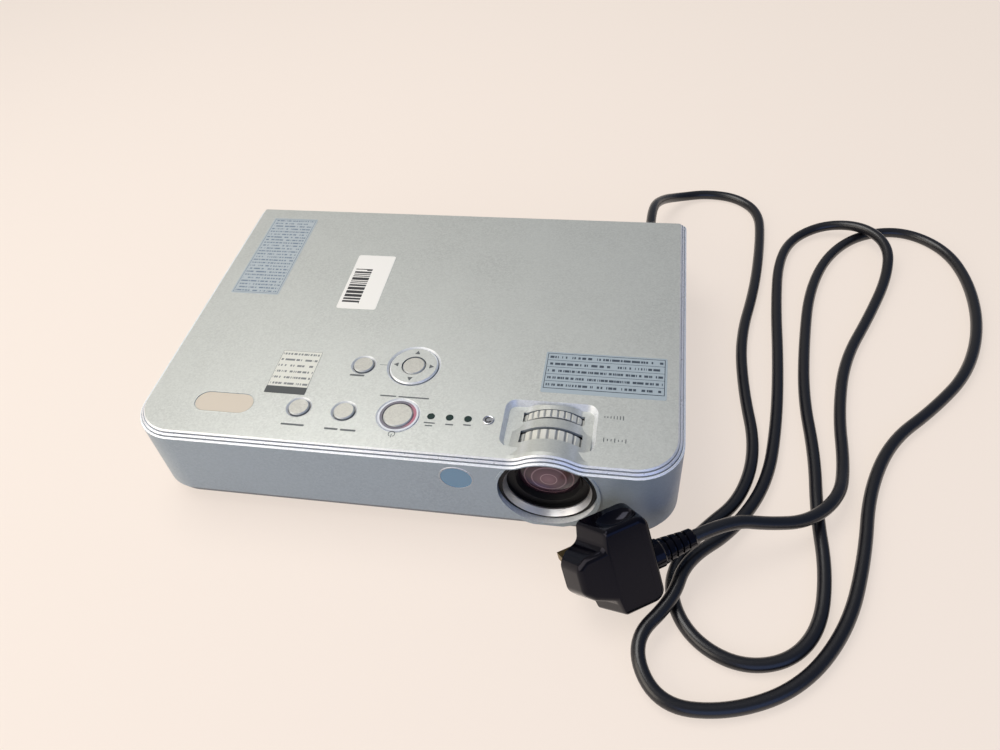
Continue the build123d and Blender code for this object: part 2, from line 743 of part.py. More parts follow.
def make_lens():
    below_rim = under_skin(band_seat_drop + 1.2)
    face_y = front_face_y + lens_recess
    bezel = lens_disc(bezel_radius, face_y, face_y + bezel_depth)
    bezel -= lens_disc(trim_radius, face_y - 1, face_y + trim_depth + 0.8)
    bezel -= lens_disc(trim_mouth, face_y - 1, face_y + bezel_depth + 1)
    save(bezel & below_rim, "lens_bezel")
    trim = lens_turn([
        (trim_radius, face_y - 0.8),
        (trim_radius, face_y + trim_depth + 0.8),
        (trim_mouth, face_y + trim_depth + 0.8),
        (trim_mouth, face_y + trim_depth),
    ])
    save(trim & below_rim, "lens_trim_ring")

    glass_y = face_y + tunnel_depth
    cell_radius = glass_radius + cell_wall
    bore_radius = cell_radius + cell_gap
    cell_back = glass_y + glass_thickness + 0.4
    ledge_y = cell_back + focus_travel + 0.2
    barrel_front = face_y + bezel_depth
    barrel_end = engine_box[2]
    dials_front = focus_slot[0] + 0.1
    dials_rear = zoom_slot[1] + 0.4
    barrel = lens_turn([
        (barrel_flange, barrel_front),
        (barrel_flange, barrel_front + 1.6),
        (bore_radius + barrel_wall, barrel_front + 1.6),
        (bore_radius + barrel_wall, dials_front),
        (barrel_radius, dials_front),
        (barrel_radius, dials_rear),
        (barrel_neck, dials_rear),
        (barrel_neck, barrel_end - 3),
        (barrel_neck + 2, barrel_end - 3),
        (barrel_neck + 2, barrel_end),
        (barrel_bore, barrel_end),
        (barrel_bore, ledge_y),
        (bore_radius, ledge_y),
        (bore_radius, barrel_front),
    ])
    save(barrel, "lens_barrel")
    cell = lens_turn([
        (cell_radius, glass_y - 3.2),
        (cell_radius, cell_back),
        (glass_radius - 1.2, cell_back),
        (glass_radius - 1.2, glass_y + glass_thickness),
        (glass_radius, glass_y + glass_thickness),
        (glass_radius, glass_y),
        (cell_radius - 0.4, glass_y - 3.2),
    ])
    save(cell, "focus_cell")
    save(glass_lens(glass_radius, glass_y, glass_thickness, 2.2), "front_glass")
    zoom_front = dials_rear + 8
    zoom_glass_radius = barrel_bore - cell_gap - cell_wall
    zoom_cell = lens_turn([
        (barrel_bore - cell_gap, zoom_front),
        (barrel_bore - cell_gap, zoom_front + 16),
        (zoom_glass_radius, zoom_front + 16),
        (zoom_glass_radius, zoom_front),
    ])
    save(zoom_cell, "zoom_cell")
    save(glass_lens(zoom_glass_radius, zoom_front + 4, 5.0, 1.6), "zoom_glass")
    dial(zoom_slot, zoom_dial_radius, zoom_dial_gaps, zoom_tooth_pitch, "zoom_dial")
    dial(focus_slot, focus_dial_radius, focus_dial_gaps, focus_tooth_pitch, "focus_dial")


def glass_lens(radius, front, thickness, crown):
    """Lens element: crowned front face, flat back."""
    sphere_radius = (radius**2 + crown**2) / (2 * crown)
    bend = sphere_radius - math.sqrt(sphere_radius**2 - (radius / 2) ** 2)
    rim_y = front
    edges = [
        ThreePointArc((0, rim_y - crown), (radius / 2, rim_y - crown + bend), (radius, rim_y)),
        Polyline((radius, rim_y), (radius, front + thickness), (0, front + thickness), (0, rim_y - crown)),
    ]
    face = Pos(lens_x, 0, lens_z) * make_face(edges)
    return revolve(face, Axis((lens_x, 0, lens_z), (0, 1, 0)))


# Grilles, fans and speaker


def grille(side, y, name):
    """Louvred insert: a plate with slots in two columns and a lip that holds it in the wall."""
    inner_x = case_width / 2 - case_wall
    plate = block(inner_x, case_width / 2, y - grille_length / 2, y + grille_length / 2,
                  grille_z - grille_height / 2, grille_z + grille_height / 2)
    lip_y = grille_length / 2 + grille_lip
    lip_z = grille_height / 2 + grille_lip
    plate += block(inner_x - 1.4, inner_x, y - lip_y, y + lip_y, grille_z - lip_z, grille_z + lip_z)
    pitch = (grille_height - 2) / slat_count
    for row in range(slat_count):
        z = grille_z + (row - (slat_count - 1) / 2) * pitch
        for column in (-1, 1):
            slot_y = y + column * (grille_length / 4 - 0.5)
            plate -= Pos(case_width / 2, slot_y, z) * Box(14, grille_length / 2 - 4, slat_gap)
    if side < 0:
        plate = mirror(plate, Plane.YZ)
    save(plate, name)


def fan(side, y, name):
    """Square fan frame against the inside of its grille, and the rotor in it."""
    size, depth = fan_size, fan_depth
    inner = case_width / 2 - case_wall - 1.4
    centre_x = side * (inner - depth / 2)
    place = Pos(centre_x, y, grille_z) * Rot(0, 90, 0)
    frame = Box(size, size, depth) - Cylinder(size / 2 - 1.5, depth)
    frame += Pos(0, 0, -side * (depth / 2 - 0.6)) * Box(size - 1, 3, 1.2)
    frame += Pos(0, 0, -side * (depth / 2 - 0.6)) * Cylinder(7, 1.2)
    frame += Pos(0, 0, -side * (depth / 2 - 4)) * Cylinder(1.5, 8)
    save(place * frame, name + "_frame")
    hub = Pos(0, 0, side * 0.8) * Cylinder(fan_hub, depth - 3)
    blade_length = size / 2 - 1.5 - fan_hub - 0.8
    blade = Rot(38, 0, 0) * Box(blade_length + 1, 6.5, 1.1)
    for index in range(fan_blades):
        turn = Rot(0, 0, index * 360 / fan_blades)
        hub += turn * Pos(fan_hub - 0.5 + blade_length / 2, 0, side * 0.8) * blade
    hub -= Cylinder(1.55, depth + 2)
    save(place * hub, name + "_rotor")


def make_speaker():
    inner = case_width / 2 - case_wall
    place = Pos(inner, speaker_y, grille_z) * Rot(0, -90, 0)
    rim = Pos(0, 0, 1) * Cylinder(speaker_radius, 2)
    basket = rim + Pos(0, 0, 5) * Cone(speaker_radius - 1, 9, 6) + Pos(0, 0, 11) * Cylinder(9, 6)
    basket -= Pos(0, 0, 1.5) * Cone(speaker_radius - 2, 8, 3.01)
    save(place * basket, "speaker")


# Rear connectors


def make_rear():
    half_width = rear_panel_width / 2 - fit_gap + panel_overlap
    half_height = rear_panel_height / 2 - fit_gap + panel_overlap
    face_y = rear_face_y - case_wall
    back_y = face_y - rear_panel_thickness
    x, z = rear_panel_x, rear_panel_z
    plate = block(x - half_width, x + half_width, back_y, face_y, z - half_height, z + half_height)
    for jack_x in video_jack_spots:
        plate -= Pos(jack_x, back_y, z) * Rot(90, 0, 0) * Cylinder(video_jack_radius + fit_gap / 2, 10)
    audio = Pos(audio_jack_x, back_y, z) * Rot(90, 0, 0)
    plate -= audio * Cylinder(audio_jack_radius + fit_gap / 2, 10)
    for port_x in data_port_spots:
        plate -= Pos(port_x, back_y, z) * Box(port_width, 10, port_height)
    save(plate, "rear_panel")

    ports = []
    for port_x in data_port_spots:
        ports.append(Pos(port_x, 0, z) * d_shell(back_y - jack_depth, rear_face_y + 2))
        for side in (-1, 1):
            post_place = Pos(port_x + side * port_post_out, face_y + 2, z) * Rot(90, 0, 0)
            ports.append(post_place * extrude(RegularPolygon(2.7, 6), 2, both=True))
    save(Compound(ports), "data_ports")

    jacks = []
    for jack_x in video_jack_spots:
        place = Pos(jack_x, back_y, z) * Rot(90, 0, 0)
        jack = place * Cylinder(video_jack_radius, 2 * (rear_face_y - back_y))
        jack -= place * Cylinder(1.6, 60)
        jacks.append(jack + block(jack_x - 5, jack_x + 5, back_y - jack_depth, back_y, z - 7, z + 7))
    socket = audio * Cylinder(audio_jack_radius, jack_depth)
    socket -= audio * Cylinder(1.75, 60)
    socket += block(audio_jack_x - 4, audio_jack_x + 4, back_y - jack_depth, back_y, z - 5, z + 5)
    jacks.append(socket)
    save(Compound(jacks), "signal_jacks")
    board_face = back_y - jack_depth
    board_half = rear_panel_width / 2 - 6
    save(block(x - board_half, x + board_half, board_face - board_thickness, board_face, 16, 50), "io_board")


def d_shell(back, front):
    """Trapezoid shell of a 15-pin data port."""
    top, bottom, half = port_width / 2 - 0.1, port_width / 2 - 1.6, port_height / 2 - 0.1
    points = [(-top, half), (top, half), (bottom, -half), (-bottom, -half)]
    face = make_face(Polyline(*points, close=True))
    plane = Plane((0, front, 0), x_dir=(1, 0, 0), z_dir=(0, -1, 0))
    return extrude(plane * face, front - back, dir=(0, -1, 0))


def make_inlet():
    front = rear_face_y + inlet_flange
    centre = Pos(inlet_x, 0, inlet_z)
    border = inlet_flange_border
    half_w, half_h = inlet_width / 2, inlet_height / 2
    body = block(-half_w, half_w, rear_face_y - inlet_depth, front, -half_h, half_h)
    rim_w, rim_h = half_w + border, half_h + border
    body += block(-rim_w, rim_w, rear_face_y, front, -rim_h, rim_h)
    mouth_w, mouth_h = socket_width / 2, socket_height / 2
    body -= block(-mouth_w, mouth_w, front - socket_depth, front + 1, -mouth_h, mouth_h)
    save(centre * body, "mains_inlet")
    pins = [(-pin_spacing, -2.0), (pin_spacing, -2.0), (0.0, 2.0)]
    blades = []
    for pin_x, pin_z in pins:
        base = front - socket_depth
        blade = block(-1, 1, base, base + pin_length, -2, 2)
        blades.append(centre * Pos(pin_x, 0, pin_z) * blade)
    save(Compound(blades), "inlet_pins")

    nose_w = socket_width / 2 - fit_gap
    nose_h = socket_height / 2 - fit_gap
    connector = block(-nose_w, nose_w, front - socket_depth + 0.5, front, -nose_h, nose_h)
    grip = block(-half_w, half_w, front, front + connector_length, -half_h + 0.5, half_h - 0.5)
    grip = fillet(grip.edges().filter_by(Axis.Y), 3.0)
    connector += grip
    for pin_x, pin_z in pins:
        hole = block(-1.2, 1.2, front - socket_depth, front - 1, -2.2, 2.2)
        connector -= Pos(pin_x, 0, pin_z) * hole
    save(centre * connector, "lead_connector")
    relief = Pos(inlet_x, front + connector_length + relief_length / 2, inlet_z) * Rot(-90, 0, 0)
    taper = relief * Cone(relief_radius, cord_radius + 0.6, relief_length)
    for index in range(3):
        ring_y = -relief_length / 2 + 4 + index * 5.5
        taper -= relief * Pos(0, 0, ring_y) * (Cylinder(8, 1.3) - Cylinder(cord_radius + 0.4, 1.3))
    save(taper, "connector_relief")


def make_switch():
    half_w, half_h = switch_width / 2, switch_tall / 2
    border = switch_border
    centre = Pos(switch_x, 0, switch_z)
    housing = block(-half_w, half_w, rear_face_y - switch_depth, rear_face_y, -half_h, half_h)
    rim_w, rim_h = half_w + border, half_h + border
    housing += block(-rim_w, rim_w, rear_face_y, rear_face_y + 1, -rim_h, rim_h)
    pocket = rocker_radius + 0.4
    half_pocket = rocker_width / 2 + 0.3
    housing -= block(-half_pocket, half_pocket, rocker_pivot_y - 4, rear_face_y + 2, -pocket, pocket)
    pivot = Pos(0, rocker_pivot_y, 0) * Rot(0, 90, 0)
    housing -= pivot * Cylinder(rocker_pin + 0.1, switch_width - 1)
    save(centre * housing, "switch_housing")
    rocker = Cylinder(rocker_radius, rocker_width) & Box(4 * rocker_radius, 6.1, rocker_width)
    rocker = Pos(0, rocker_pivot_y + 1.05, 0) * Rot(0, 90, 0) * rocker
    rocker += pivot * Cylinder(rocker_pin, switch_width - 1.2)
    turn = Pos(0, rocker_pivot_y, 0) * Rot(rocker_tilt, 0, 0) * Pos(0, -rocker_pivot_y, 0)
    save(centre * turn * rocker, "main_switch")


# Feet, screws and ceiling fixings


def make_feet():
    rear = [post(side * rear_foot_x, rear_foot_y, foot_radius, 0, foot_height) for side in (-1, 1)]
    save(Compound([chamfer(foot.edges().group_by(Axis.Z)[0], 0.6) for foot in rear]), "rear_feet")
    for (x, y), name in zip(foot_spots(), ("front_foot_left", "front_foot_right")):
        pad = post(x, y, foot_radius, 0, foot_height - foot_gap)
        pad = chamfer(pad.edges().group_by(Axis.Z)[0], 0.6)
        top = foot_height + foot_stem_length - foot_gap
        save(pad + post(x, y, foot_stem, foot_height - foot_gap, top), name)


def make_fasteners():
    screws = []
    head_top = wall_bottom - 3
    for x, y, _ in column_spots():
        screw = post(x, y, screw_head, head_top - 2, head_top)
        screws.append(screw + post(x, y, screw_radius, head_top, wall_bottom + screw_length - 1))
    save(Compound(screws), "case_screws")
    inserts = []
    for x, y in fixing_spots():
        bush = post(x, y, insert_radius, foot_height, foot_height + insert_length)
        inserts.append(bush - post(x, y, fixing_radius, 0, foot_height + insert_length + 1))
    save(Compound(inserts), "ceiling_mount_inserts")


def make_filter():
    back = case_width / 2 - case_wall - 1.4
    half_y, half_z = grille_length / 2, grille_height / 2
    pad = block(back - 3, back, intake_y - half_y, intake_y + half_y, grille_z - half_z, grille_z + half_z)
    save(pad, "intake_filter")


# Mains lead: a plug lying on its side and the cord between the two ends


def plug_frame():
    """Plug's own axes: x towards the cord, y up along the pin face and z out of its back."""
    heading = math.radians(plug_heading)
    lean = math.radians(plug_lean)
    along = Vector(math.cos(heading), math.sin(heading), 0)
    across = Vector(math.sin(heading), -math.cos(heading), 0)
    back = across * math.sin(lean) + Vector(0, 0, math.cos(lean))
    return Plane(origin=(*plug_edge, 0), x_dir=along, z_dir=back)


def plug_outline(side_inset, shoulder, nose):
    """Plan of the plug: wide at the cord end, then an S-curve in to a narrower nose."""
    near, far = side_inset, plug_width - side_inset
    half_nose = plug_nose_width / 2 - side_inset / 2
    middle = plug_width / 2
    points = [
        (0, near),
        (0, far),
        (-shoulder, far),
        (-shoulder - plug_step, middle + half_nose),
        (-nose, middle + half_nose),
        (-nose, middle - half_nose),
        (-shoulder - plug_step, middle - half_nose),
        (-shoulder, near),
    ]
    face = make_face(Polyline(*points, close=True))
    return fillet(face.vertices(), plug_corner)


def make_plug():
    frame = plug_frame()
    pin_face = plug_outline(0, plug_shoulder + plug_lean_in, plug_length)
    back_face = plug_outline(plug_side_taper, plug_shoulder, plug_length - plug_nose_taper)
    body = loft([pin_face, Pos(0, 0, plug_thickness) * back_face], ruled=True)
    slope = Pos(-plug_shoulder - plug_step / 2, 0, plug_thickness) * Rot(0, -plug_nose_fall, 0)
    cutter = Box(2 * plug_length, 2 * plug_width, 2 * plug_thickness)
    body -= slope * Pos(-plug_length, plug_width / 2, plug_thickness) * cutter
    middle = plug_width / 2
    for side in (-1, 1):
        dish_y = middle + side * (middle - plug_side_taper / 2)
        dish = Pos(-plug_dish_in, dish_y, plug_thickness / 2) * Rot(90, 0, 0)
        body -= dish * extrude(Ellipse(*plug_dish), plug_dish_depth, both=True)
    save(frame.location * body, "mains_plug")

    exit_place = Pos(0, middle, plug_exit_height) * Rot(0, 90, 0)
    collar = exit_place * Pos(0, 0, 3) * Cylinder(plug_relief_radius + 1.6, 6)
    taper_length = plug_relief_length - 6
    taper = Cone(plug_relief_radius, cord_radius + 0.6, taper_length)
    collar += exit_place * Pos(0, 0, 6 + taper_length / 2) * taper
    for index in range(3):
        cut = Cylinder(9, 1.3) - Cylinder(cord_radius + 0.4, 1.3)
        collar -= exit_place * Pos(0, 0, 9 + index * 5.3) * cut
    save(frame.location * collar, "plug_relief")

    thick, wide, reach = live_pin
    pins = []
    for side in (-1, 1):
        pin_y = middle + side * live_pin_spacing / 2
        pins.append(Pos(-live_pin_inset, pin_y, -reach / 2) * Box(thick, wide, reach))
    thick, wide, reach = earth_pin
    pins.append(Pos(-live_pin_inset - earth_pin_offset, middle, -reach / 2) * Box(thick, wide, reach))
    save(Compound([frame.location * pin for pin in pins]), "plug_pins")


cord_points = [
    (126, 148, 24), (126, 170, 24), (133, 194, 16), (148, 213, 6), (170, 222, 3.6),
    (193, 217, 3.6), (208, 198, 3.6), (207, 163, 3.6), (200, 107, 3.6), (188, 56, 3.6),
    (188, 8, 3.6), (193, -37, 3.6), (183, -73, 3.6), (164, -93, 3.6), (151, -110, 3.6),
    (145, -133, 3.6), (155, -156, 3.6), (177, -168, 3.6), (201, -163, 3.6), (217, -144, 3.6),
    (223, -112, 3.6), (222, -78, 3.6), (225, -38, 3.6), (223, 6, 3.6), (228, 55, 3.6),
    (236, 106, 3.6), (252, 147, 3.6), (277, 174, 3.6), (309, 181, 3.6), (334, 161, 3.6),
    (342, 125, 3.6), (338, 79, 3.6), (322, 36, 3.6), (296, 4, 3.6), (268, -23, 3.6),
    (251, -60, 3.6), (243, -102, 3.6), (230, -142, 3.6), (206, -174, 3.6), (173, -190, 3.6),
    (140.6, -191.5, 5.1), (127.3, -164.6, 9.3), (146.8, -141.6, 10.8), (152.6, -120, 13.5),
    (178, -95, 6), (198, -60, 3.6), (206, -15, 3.6), (210.5, 36, 3.6), (213, 90, 3.6),
    (218, 138, 3.6), (230, 167, 3.6), (254, 181, 7), (279, 174, 11.6), (293, 152, 11.6),
    (289, 124, 5), (272, 84, 3.6), (251, 41, 3.6), (242, -4, 3.6), (240, -44, 4),
    (233, -71, 11), (215, -90, 13.5), (193, -98, 20), (173.41, -103.04, 27.63), (155, -115.09, 27.63),
]


def make_cord():
    """Tube of straight runs joined by tangent arcs, each arc as large as its two runs allow."""
    points = [Vector(*point) for point in cord_points]
    radii = []
    for before, at, after in zip(points, points[1:], points[2:]):
        turn = math.radians((at - before).get_angle(after - at))
        shorter = min((at - before).length, (after - at).length)
        radii.append(0.45 * shorter / math.tan(turn / 2))
    route = FilletPolyline(*points, radius=radii)
    start = Plane(points[0], z_dir=points[1] - points[0])
    face = start * RegularPolygon(cord_radius, cord_sides)
    cord = sweep(face, path=route)
    section = face.area
    print("cord radii", [round(radius) for radius in radii])
    print("cord length", round(route.length))
    print("volume over section times length", cord.volume / section / route.length)
    print("cord least gap to itself", round(self_gap(route), 2))
    save(cord, "power_cord")


def self_gap(route):
    """Least gap between stretches of the cord, apart from those next to each other."""
    count = round(route.length / 3)
    spots = [route.position_at(index / count) for index in range(count + 1)]
    least = route.length
    for index, spot in enumerate(spots):
        for other in spots[index + 12:]:
            least = min(least, (spot - other).length)
    return least - cord_diameter


save(make_top_panel(), "top_panel")
save(make_trim_band(), "trim_band")
save(make_upper_case(), "upper_case")
save(make_bottom_tray(), "bottom_tray")
make_interior()
make_controls()
make_lens()
grille(-1, exhaust_y, "exhaust_grille")
grille(1, intake_y, "filter_cover")
make_filter()
fan(-1, exhaust_y, "exhaust_fan")
make_speaker()
make_rear()
make_inlet()
make_switch()
make_feet()
make_fasteners()
make_plug()
make_cord()
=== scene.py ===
# %% [markdown]
# # A portable projector and its mains lead
# The shapes of the case, keys, dials and lens come from a construction model that is loaded as a fixed frame. This file
# gives each of them its finish, replaces the soft pieces with detailed ones, and adds fine pieces, floor, light and
# camera.
# Blender works in metres. A length in millimetres is multiplied by MM, or goes through the function in_mm.

# %% Load the frame
import math

import bpy
from mathutils import Matrix, Vector


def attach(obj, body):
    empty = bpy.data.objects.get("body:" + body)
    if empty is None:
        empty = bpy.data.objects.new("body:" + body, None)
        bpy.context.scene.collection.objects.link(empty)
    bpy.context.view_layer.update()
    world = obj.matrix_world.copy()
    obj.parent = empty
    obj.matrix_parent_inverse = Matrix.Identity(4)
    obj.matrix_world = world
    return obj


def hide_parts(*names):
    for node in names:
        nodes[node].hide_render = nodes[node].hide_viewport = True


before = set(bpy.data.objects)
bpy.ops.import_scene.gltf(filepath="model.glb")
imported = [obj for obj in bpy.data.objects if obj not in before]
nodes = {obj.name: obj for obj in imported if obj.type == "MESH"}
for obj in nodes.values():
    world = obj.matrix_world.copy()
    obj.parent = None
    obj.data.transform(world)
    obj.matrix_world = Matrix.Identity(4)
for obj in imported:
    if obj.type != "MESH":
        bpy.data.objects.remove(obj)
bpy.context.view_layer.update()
MM = 0.001


def in_mm(*lengths):
    """Lengths in millimetres, as metres."""
    return tuple(length * MM for length in lengths)


# %% [markdown]
# ## Camera
# The lens and the place of the camera were worked out from the edges of the case: parallel edges run together towards
# the back, which gives the focal length, and the known size of the case gives the distance. Blender's camera looks
# along its own -Z, so the three columns of its matrix are right, up and backwards.

# %% Camera
forward = Vector((-0.16481, 0.67354, -0.72054)).normalized()
right = Vector((0.98403, 0.16210, -0.07356)).normalized()
up = right.cross(forward)
camera_data = bpy.data.cameras.new("camera")
camera_data.lens = 28.31
camera_data.sensor_width = 36.0
camera_data.clip_start = 0.02
camera = bpy.data.objects.new("camera", camera_data)
camera_turn = Matrix((right, up, -forward)).transposed().to_4x4()
camera.matrix_world = Matrix.Translation((0.11965, -0.33492, 0.37045)) @ camera_turn
bpy.context.scene.collection.objects.link(camera)
bpy.context.scene.camera = camera
print("camera elevation", round(math.degrees(math.asin(-forward.z)), 1))

# %% [markdown]
# ## The mains lead
# A mains lead is a fixed length of round rubber sheath, 7 mm thick. It leaves the socket at the back, drops to the
# table, and lies in three loose loops beside the case before it rises into the plug. It could be a mesh tube, but one
# smooth NURBS curve with a round bevel keeps its line soft everywhere, and its points can be moved by hand.

# %% Route of the lead
lead_points = [
    (0.126, 0.148, 0.024), (0.126, 0.170, 0.024), (0.133, 0.194, 0.016), (0.148, 0.213, 0.006),
    (0.170, 0.222, 0.0036), (0.193, 0.217, 0.0036), (0.208, 0.198, 0.0036), (0.207, 0.163, 0.0036),
    (0.200, 0.107, 0.0036), (0.188, 0.056, 0.0036), (0.188, 0.008, 0.0036), (0.193, -0.037, 0.0036),
    (0.183, -0.073, 0.0036), (0.164, -0.093, 0.0036), (0.151, -0.110, 0.0036), (0.145, -0.133, 0.0036),
    (0.155, -0.156, 0.0036), (0.177, -0.168, 0.0036), (0.201, -0.163, 0.0036), (0.217, -0.144, 0.0036),
    (0.223, -0.112, 0.0036), (0.222, -0.078, 0.0036), (0.225, -0.038, 0.0036), (0.223, 0.006, 0.0036),
    (0.228, 0.055, 0.0036), (0.236, 0.106, 0.0036), (0.252, 0.147, 0.0036), (0.277, 0.174, 0.0036),
    (0.309, 0.181, 0.0036), (0.334, 0.161, 0.0036), (0.342, 0.125, 0.0036), (0.338, 0.079, 0.0036),
    (0.322, 0.036, 0.0036), (0.296, 0.004, 0.0036), (0.268, -0.023, 0.0036), (0.251, -0.060, 0.0036),
    (0.243, -0.102, 0.0036), (0.230, -0.142, 0.0036), (0.206, -0.174, 0.0036), (0.173, -0.190, 0.0036),
    (0.1406, -0.1915, 0.0051), (0.1273, -0.1646, 0.0093), (0.1468, -0.1416, 0.0108), (0.1526, -0.120, 0.0135),
    (0.178, -0.095, 0.006), (0.198, -0.060, 0.0036), (0.206, -0.015, 0.0036), (0.2105, 0.036, 0.0036),
    (0.213, 0.090, 0.0036), (0.218, 0.138, 0.0036), (0.230, 0.167, 0.0036), (0.254, 0.181, 0.007),
    (0.279, 0.174, 0.0116), (0.293, 0.152, 0.0116), (0.289, 0.124, 0.005), (0.272, 0.084, 0.0036),
    (0.251, 0.041, 0.0036), (0.242, -0.004, 0.0036), (0.240, -0.044, 0.004), (0.233, -0.071, 0.011),
    (0.215, -0.090, 0.0135), (0.193, -0.098, 0.020), (0.17341, -0.10304, 0.02763), (0.155, -0.11509, 0.02763),
]
print("route", len(lead_points), "points")

# %% Curve of the lead
lead_diameter = 7 * MM
lead_data = bpy.data.curves.new("mains_lead", "CURVE")
lead_data.dimensions = "3D"
lead_data.bevel_depth = lead_diameter / 2
lead_data.bevel_resolution = 6
lead_data.resolution_u = 10
lead_data.use_fill_caps = True
lead_spline = lead_data.splines.new("NURBS")
lead_spline.points.add(len(lead_points) - 1)
for point, place in zip(lead_spline.points, lead_points):
    point.co = (*place, 1.0)
lead_spline.order_u = 3
lead_spline.use_endpoint_u = True
mains_lead = bpy.data.objects.new("mains_lead", lead_data)
bpy.context.scene.collection.objects.link(mains_lead)
print("curve", lead_spline.type, "order", lead_spline.order_u)

# %% Length of the lead


def spline_length(curve_object):
    """Length of a curve's own line, read from a copy with no bevel."""
    bare = curve_object.data.copy()
    bare.bevel_depth = 0.0
    probe = bpy.data.objects.new("probe", bare)
    bpy.context.scene.collection.objects.link(probe)
    line = bpy.data.meshes.new_from_object(probe.evaluated_get(bpy.context.evaluated_depsgraph_get()))
    places = [vertex.co.copy() for vertex in line.vertices]
    bpy.data.objects.remove(probe)
    bpy.data.curves.remove(bare)
    bpy.data.meshes.remove(line)
    return sum((b - a).length for a, b in zip(places, places[1:]))


lead_length = spline_length(mains_lead)
print("lead length", round(lead_length, 3), "m")

# %% [markdown]
# ## Helpers for materials
# Colours are written as the sRGB hex values that a screen shows, and one function turns them to the linear values that
# the renderer works in. One small function adds a node with its settings and links.

# %% Colours, nodes and materials


def hex_colour(text):
    """Linear RGBA of an sRGB hex value such as C4C6BE."""
    values = [int(text[i:i + 2], 16) / 255 for i in (0, 2, 4)]
    return tuple(v / 12.92 if v <= 0.04045 else ((v + 0.055) / 1.055) ** 2.4 for v in values) + (1.0,)


def add(tree, kind, inputs=None, **settings):
    """A new node with its settings, and its inputs set to values or linked to other nodes' outputs."""
    node = tree.nodes.new(kind)
    for name, value in settings.items():
        setattr(node, name, value)
    for name, value in (inputs or {}).items():
        if isinstance(value, bpy.types.NodeSocket):
            tree.links.new(value, node.inputs[name])
        else:
            node.inputs[name].default_value = value
    return node


def new_material(name, **inputs):
    """A material with one Principled shader. Inputs are named with underscores, as in base_color."""
    material = bpy.data.materials.new(name)
    material.use_nodes = True
    shader = material.node_tree.nodes["Principled BSDF"]
    for key, value in inputs.items():
        shader.inputs[key.replace("_", " ").title().replace("Ior", "IOR")].default_value = value
    return material, material.node_tree, shader


print("white is", hex_colour("FFFFFF"))

# %% [markdown]
# ## Floor and light
# A product photograph is lit by large soft sources. Small lamps would put hard spots on the satin paint, so a warm
# window light, a neutral overhead one, a weak blue one and a plain pale world do the work. The floor is cream. What
# the camera, the reflections and the glass see of it is mostly its own colour, and the rest takes the shadow of the
# case.

# %% Floor
floor_cream = hex_colour("F8EBE0")
own_colour_share = 0.72
bpy.ops.object.select_all(action="DESELECT")
bpy.ops.mesh.primitive_plane_add(size=8.0, location=(0, 0, 0))
floor = bpy.context.active_object
floor.name = "studio_floor"
floor_material, tree, shader = new_material("cream_paper_floor", base_color=floor_cream, roughness=0.9)
path = add(tree, "ShaderNodeLightPath")
seen = add(tree, "ShaderNodeMath", {0: path.outputs["Is Camera Ray"], 1: path.outputs["Is Glossy Ray"]},
           operation="MAXIMUM")
seen = add(tree, "ShaderNodeMath", {0: seen.outputs[0], 1: path.outputs["Is Transmission Ray"]}, operation="MAXIMUM")
share = add(tree, "ShaderNodeMath", {0: seen.outputs[0], 1: own_colour_share}, operation="MULTIPLY")
glow = add(tree, "ShaderNodeEmission", {"Color": floor_cream, "Strength": 1.0})
mixed = add(tree, "ShaderNodeMixShader", {0: share.outputs[0], 1: shader.outputs[0], 2: glow.outputs[0]})
tree.links.new(mixed.outputs[0], tree.nodes["Material Output"].inputs["Surface"])
floor.data.materials.append(floor_material)
print("floor", tuple(floor.dimensions))

# %% World
scene = bpy.context.scene
scene.view_settings.view_transform = "Standard"
world = bpy.data.worlds.new("studio")
scene.world = world
world.use_nodes = True
tree = world.node_tree
world_shader = tree.nodes["Background"]
direction = add(tree, "ShaderNodeTexCoord")
across = add(tree, "ShaderNodeSeparateXYZ", {0: direction.outputs["Generated"]})
rightward = add(tree, "ShaderNodeMapRange", {"Value": across.outputs["X"], "From Min": -0.8, "From Max": 0.9})
room = add(tree, "ShaderNodeMix", {0: rightward.outputs[0], "A": hex_colour("FFF8EE"), "B": hex_colour("8FA4C8")},
           data_type="RGBA")
tree.links.new(room.outputs["Result"], world_shader.inputs["Color"])
world_shader.inputs["Strength"].default_value = 0.44
print("world", [node.bl_idname for node in tree.nodes])

# %% Lamps


def soft_light(name, place, target, size, power, colour):
    """An area light of the given width and height in metres and power in watts that looks at a point."""
    data = bpy.data.lights.new(name, "AREA")
    data.shape = "RECTANGLE"
    data.size, data.size_y = size
    data.energy = power
    data.color = hex_colour(colour)[:3]
    light = bpy.data.objects.new(name, data)
    turn = (Vector(place) - Vector(target)).to_track_quat("Z", "Y").to_matrix().to_4x4()
    light.matrix_world = Matrix.Translation(place) @ turn
    scene.collection.objects.link(light)


soft_light("window_side", (-0.75, -0.62, 0.46), (0, -0.05, 0.03), (1.1, 0.8), 6.8, "FFF4E4")
soft_light("overhead", (-0.40, 0.15, 1.15), (0.02, 0, 0), (0.9, 0.7), 8.5, "FAF8F4")
soft_light("sky_side", (0.55, -0.80, 0.42), (0.15, -0.10, 0.03), (0.9, 0.7), 1.8, "8CACF4")
print("lights", [light.name for light in bpy.data.lights])
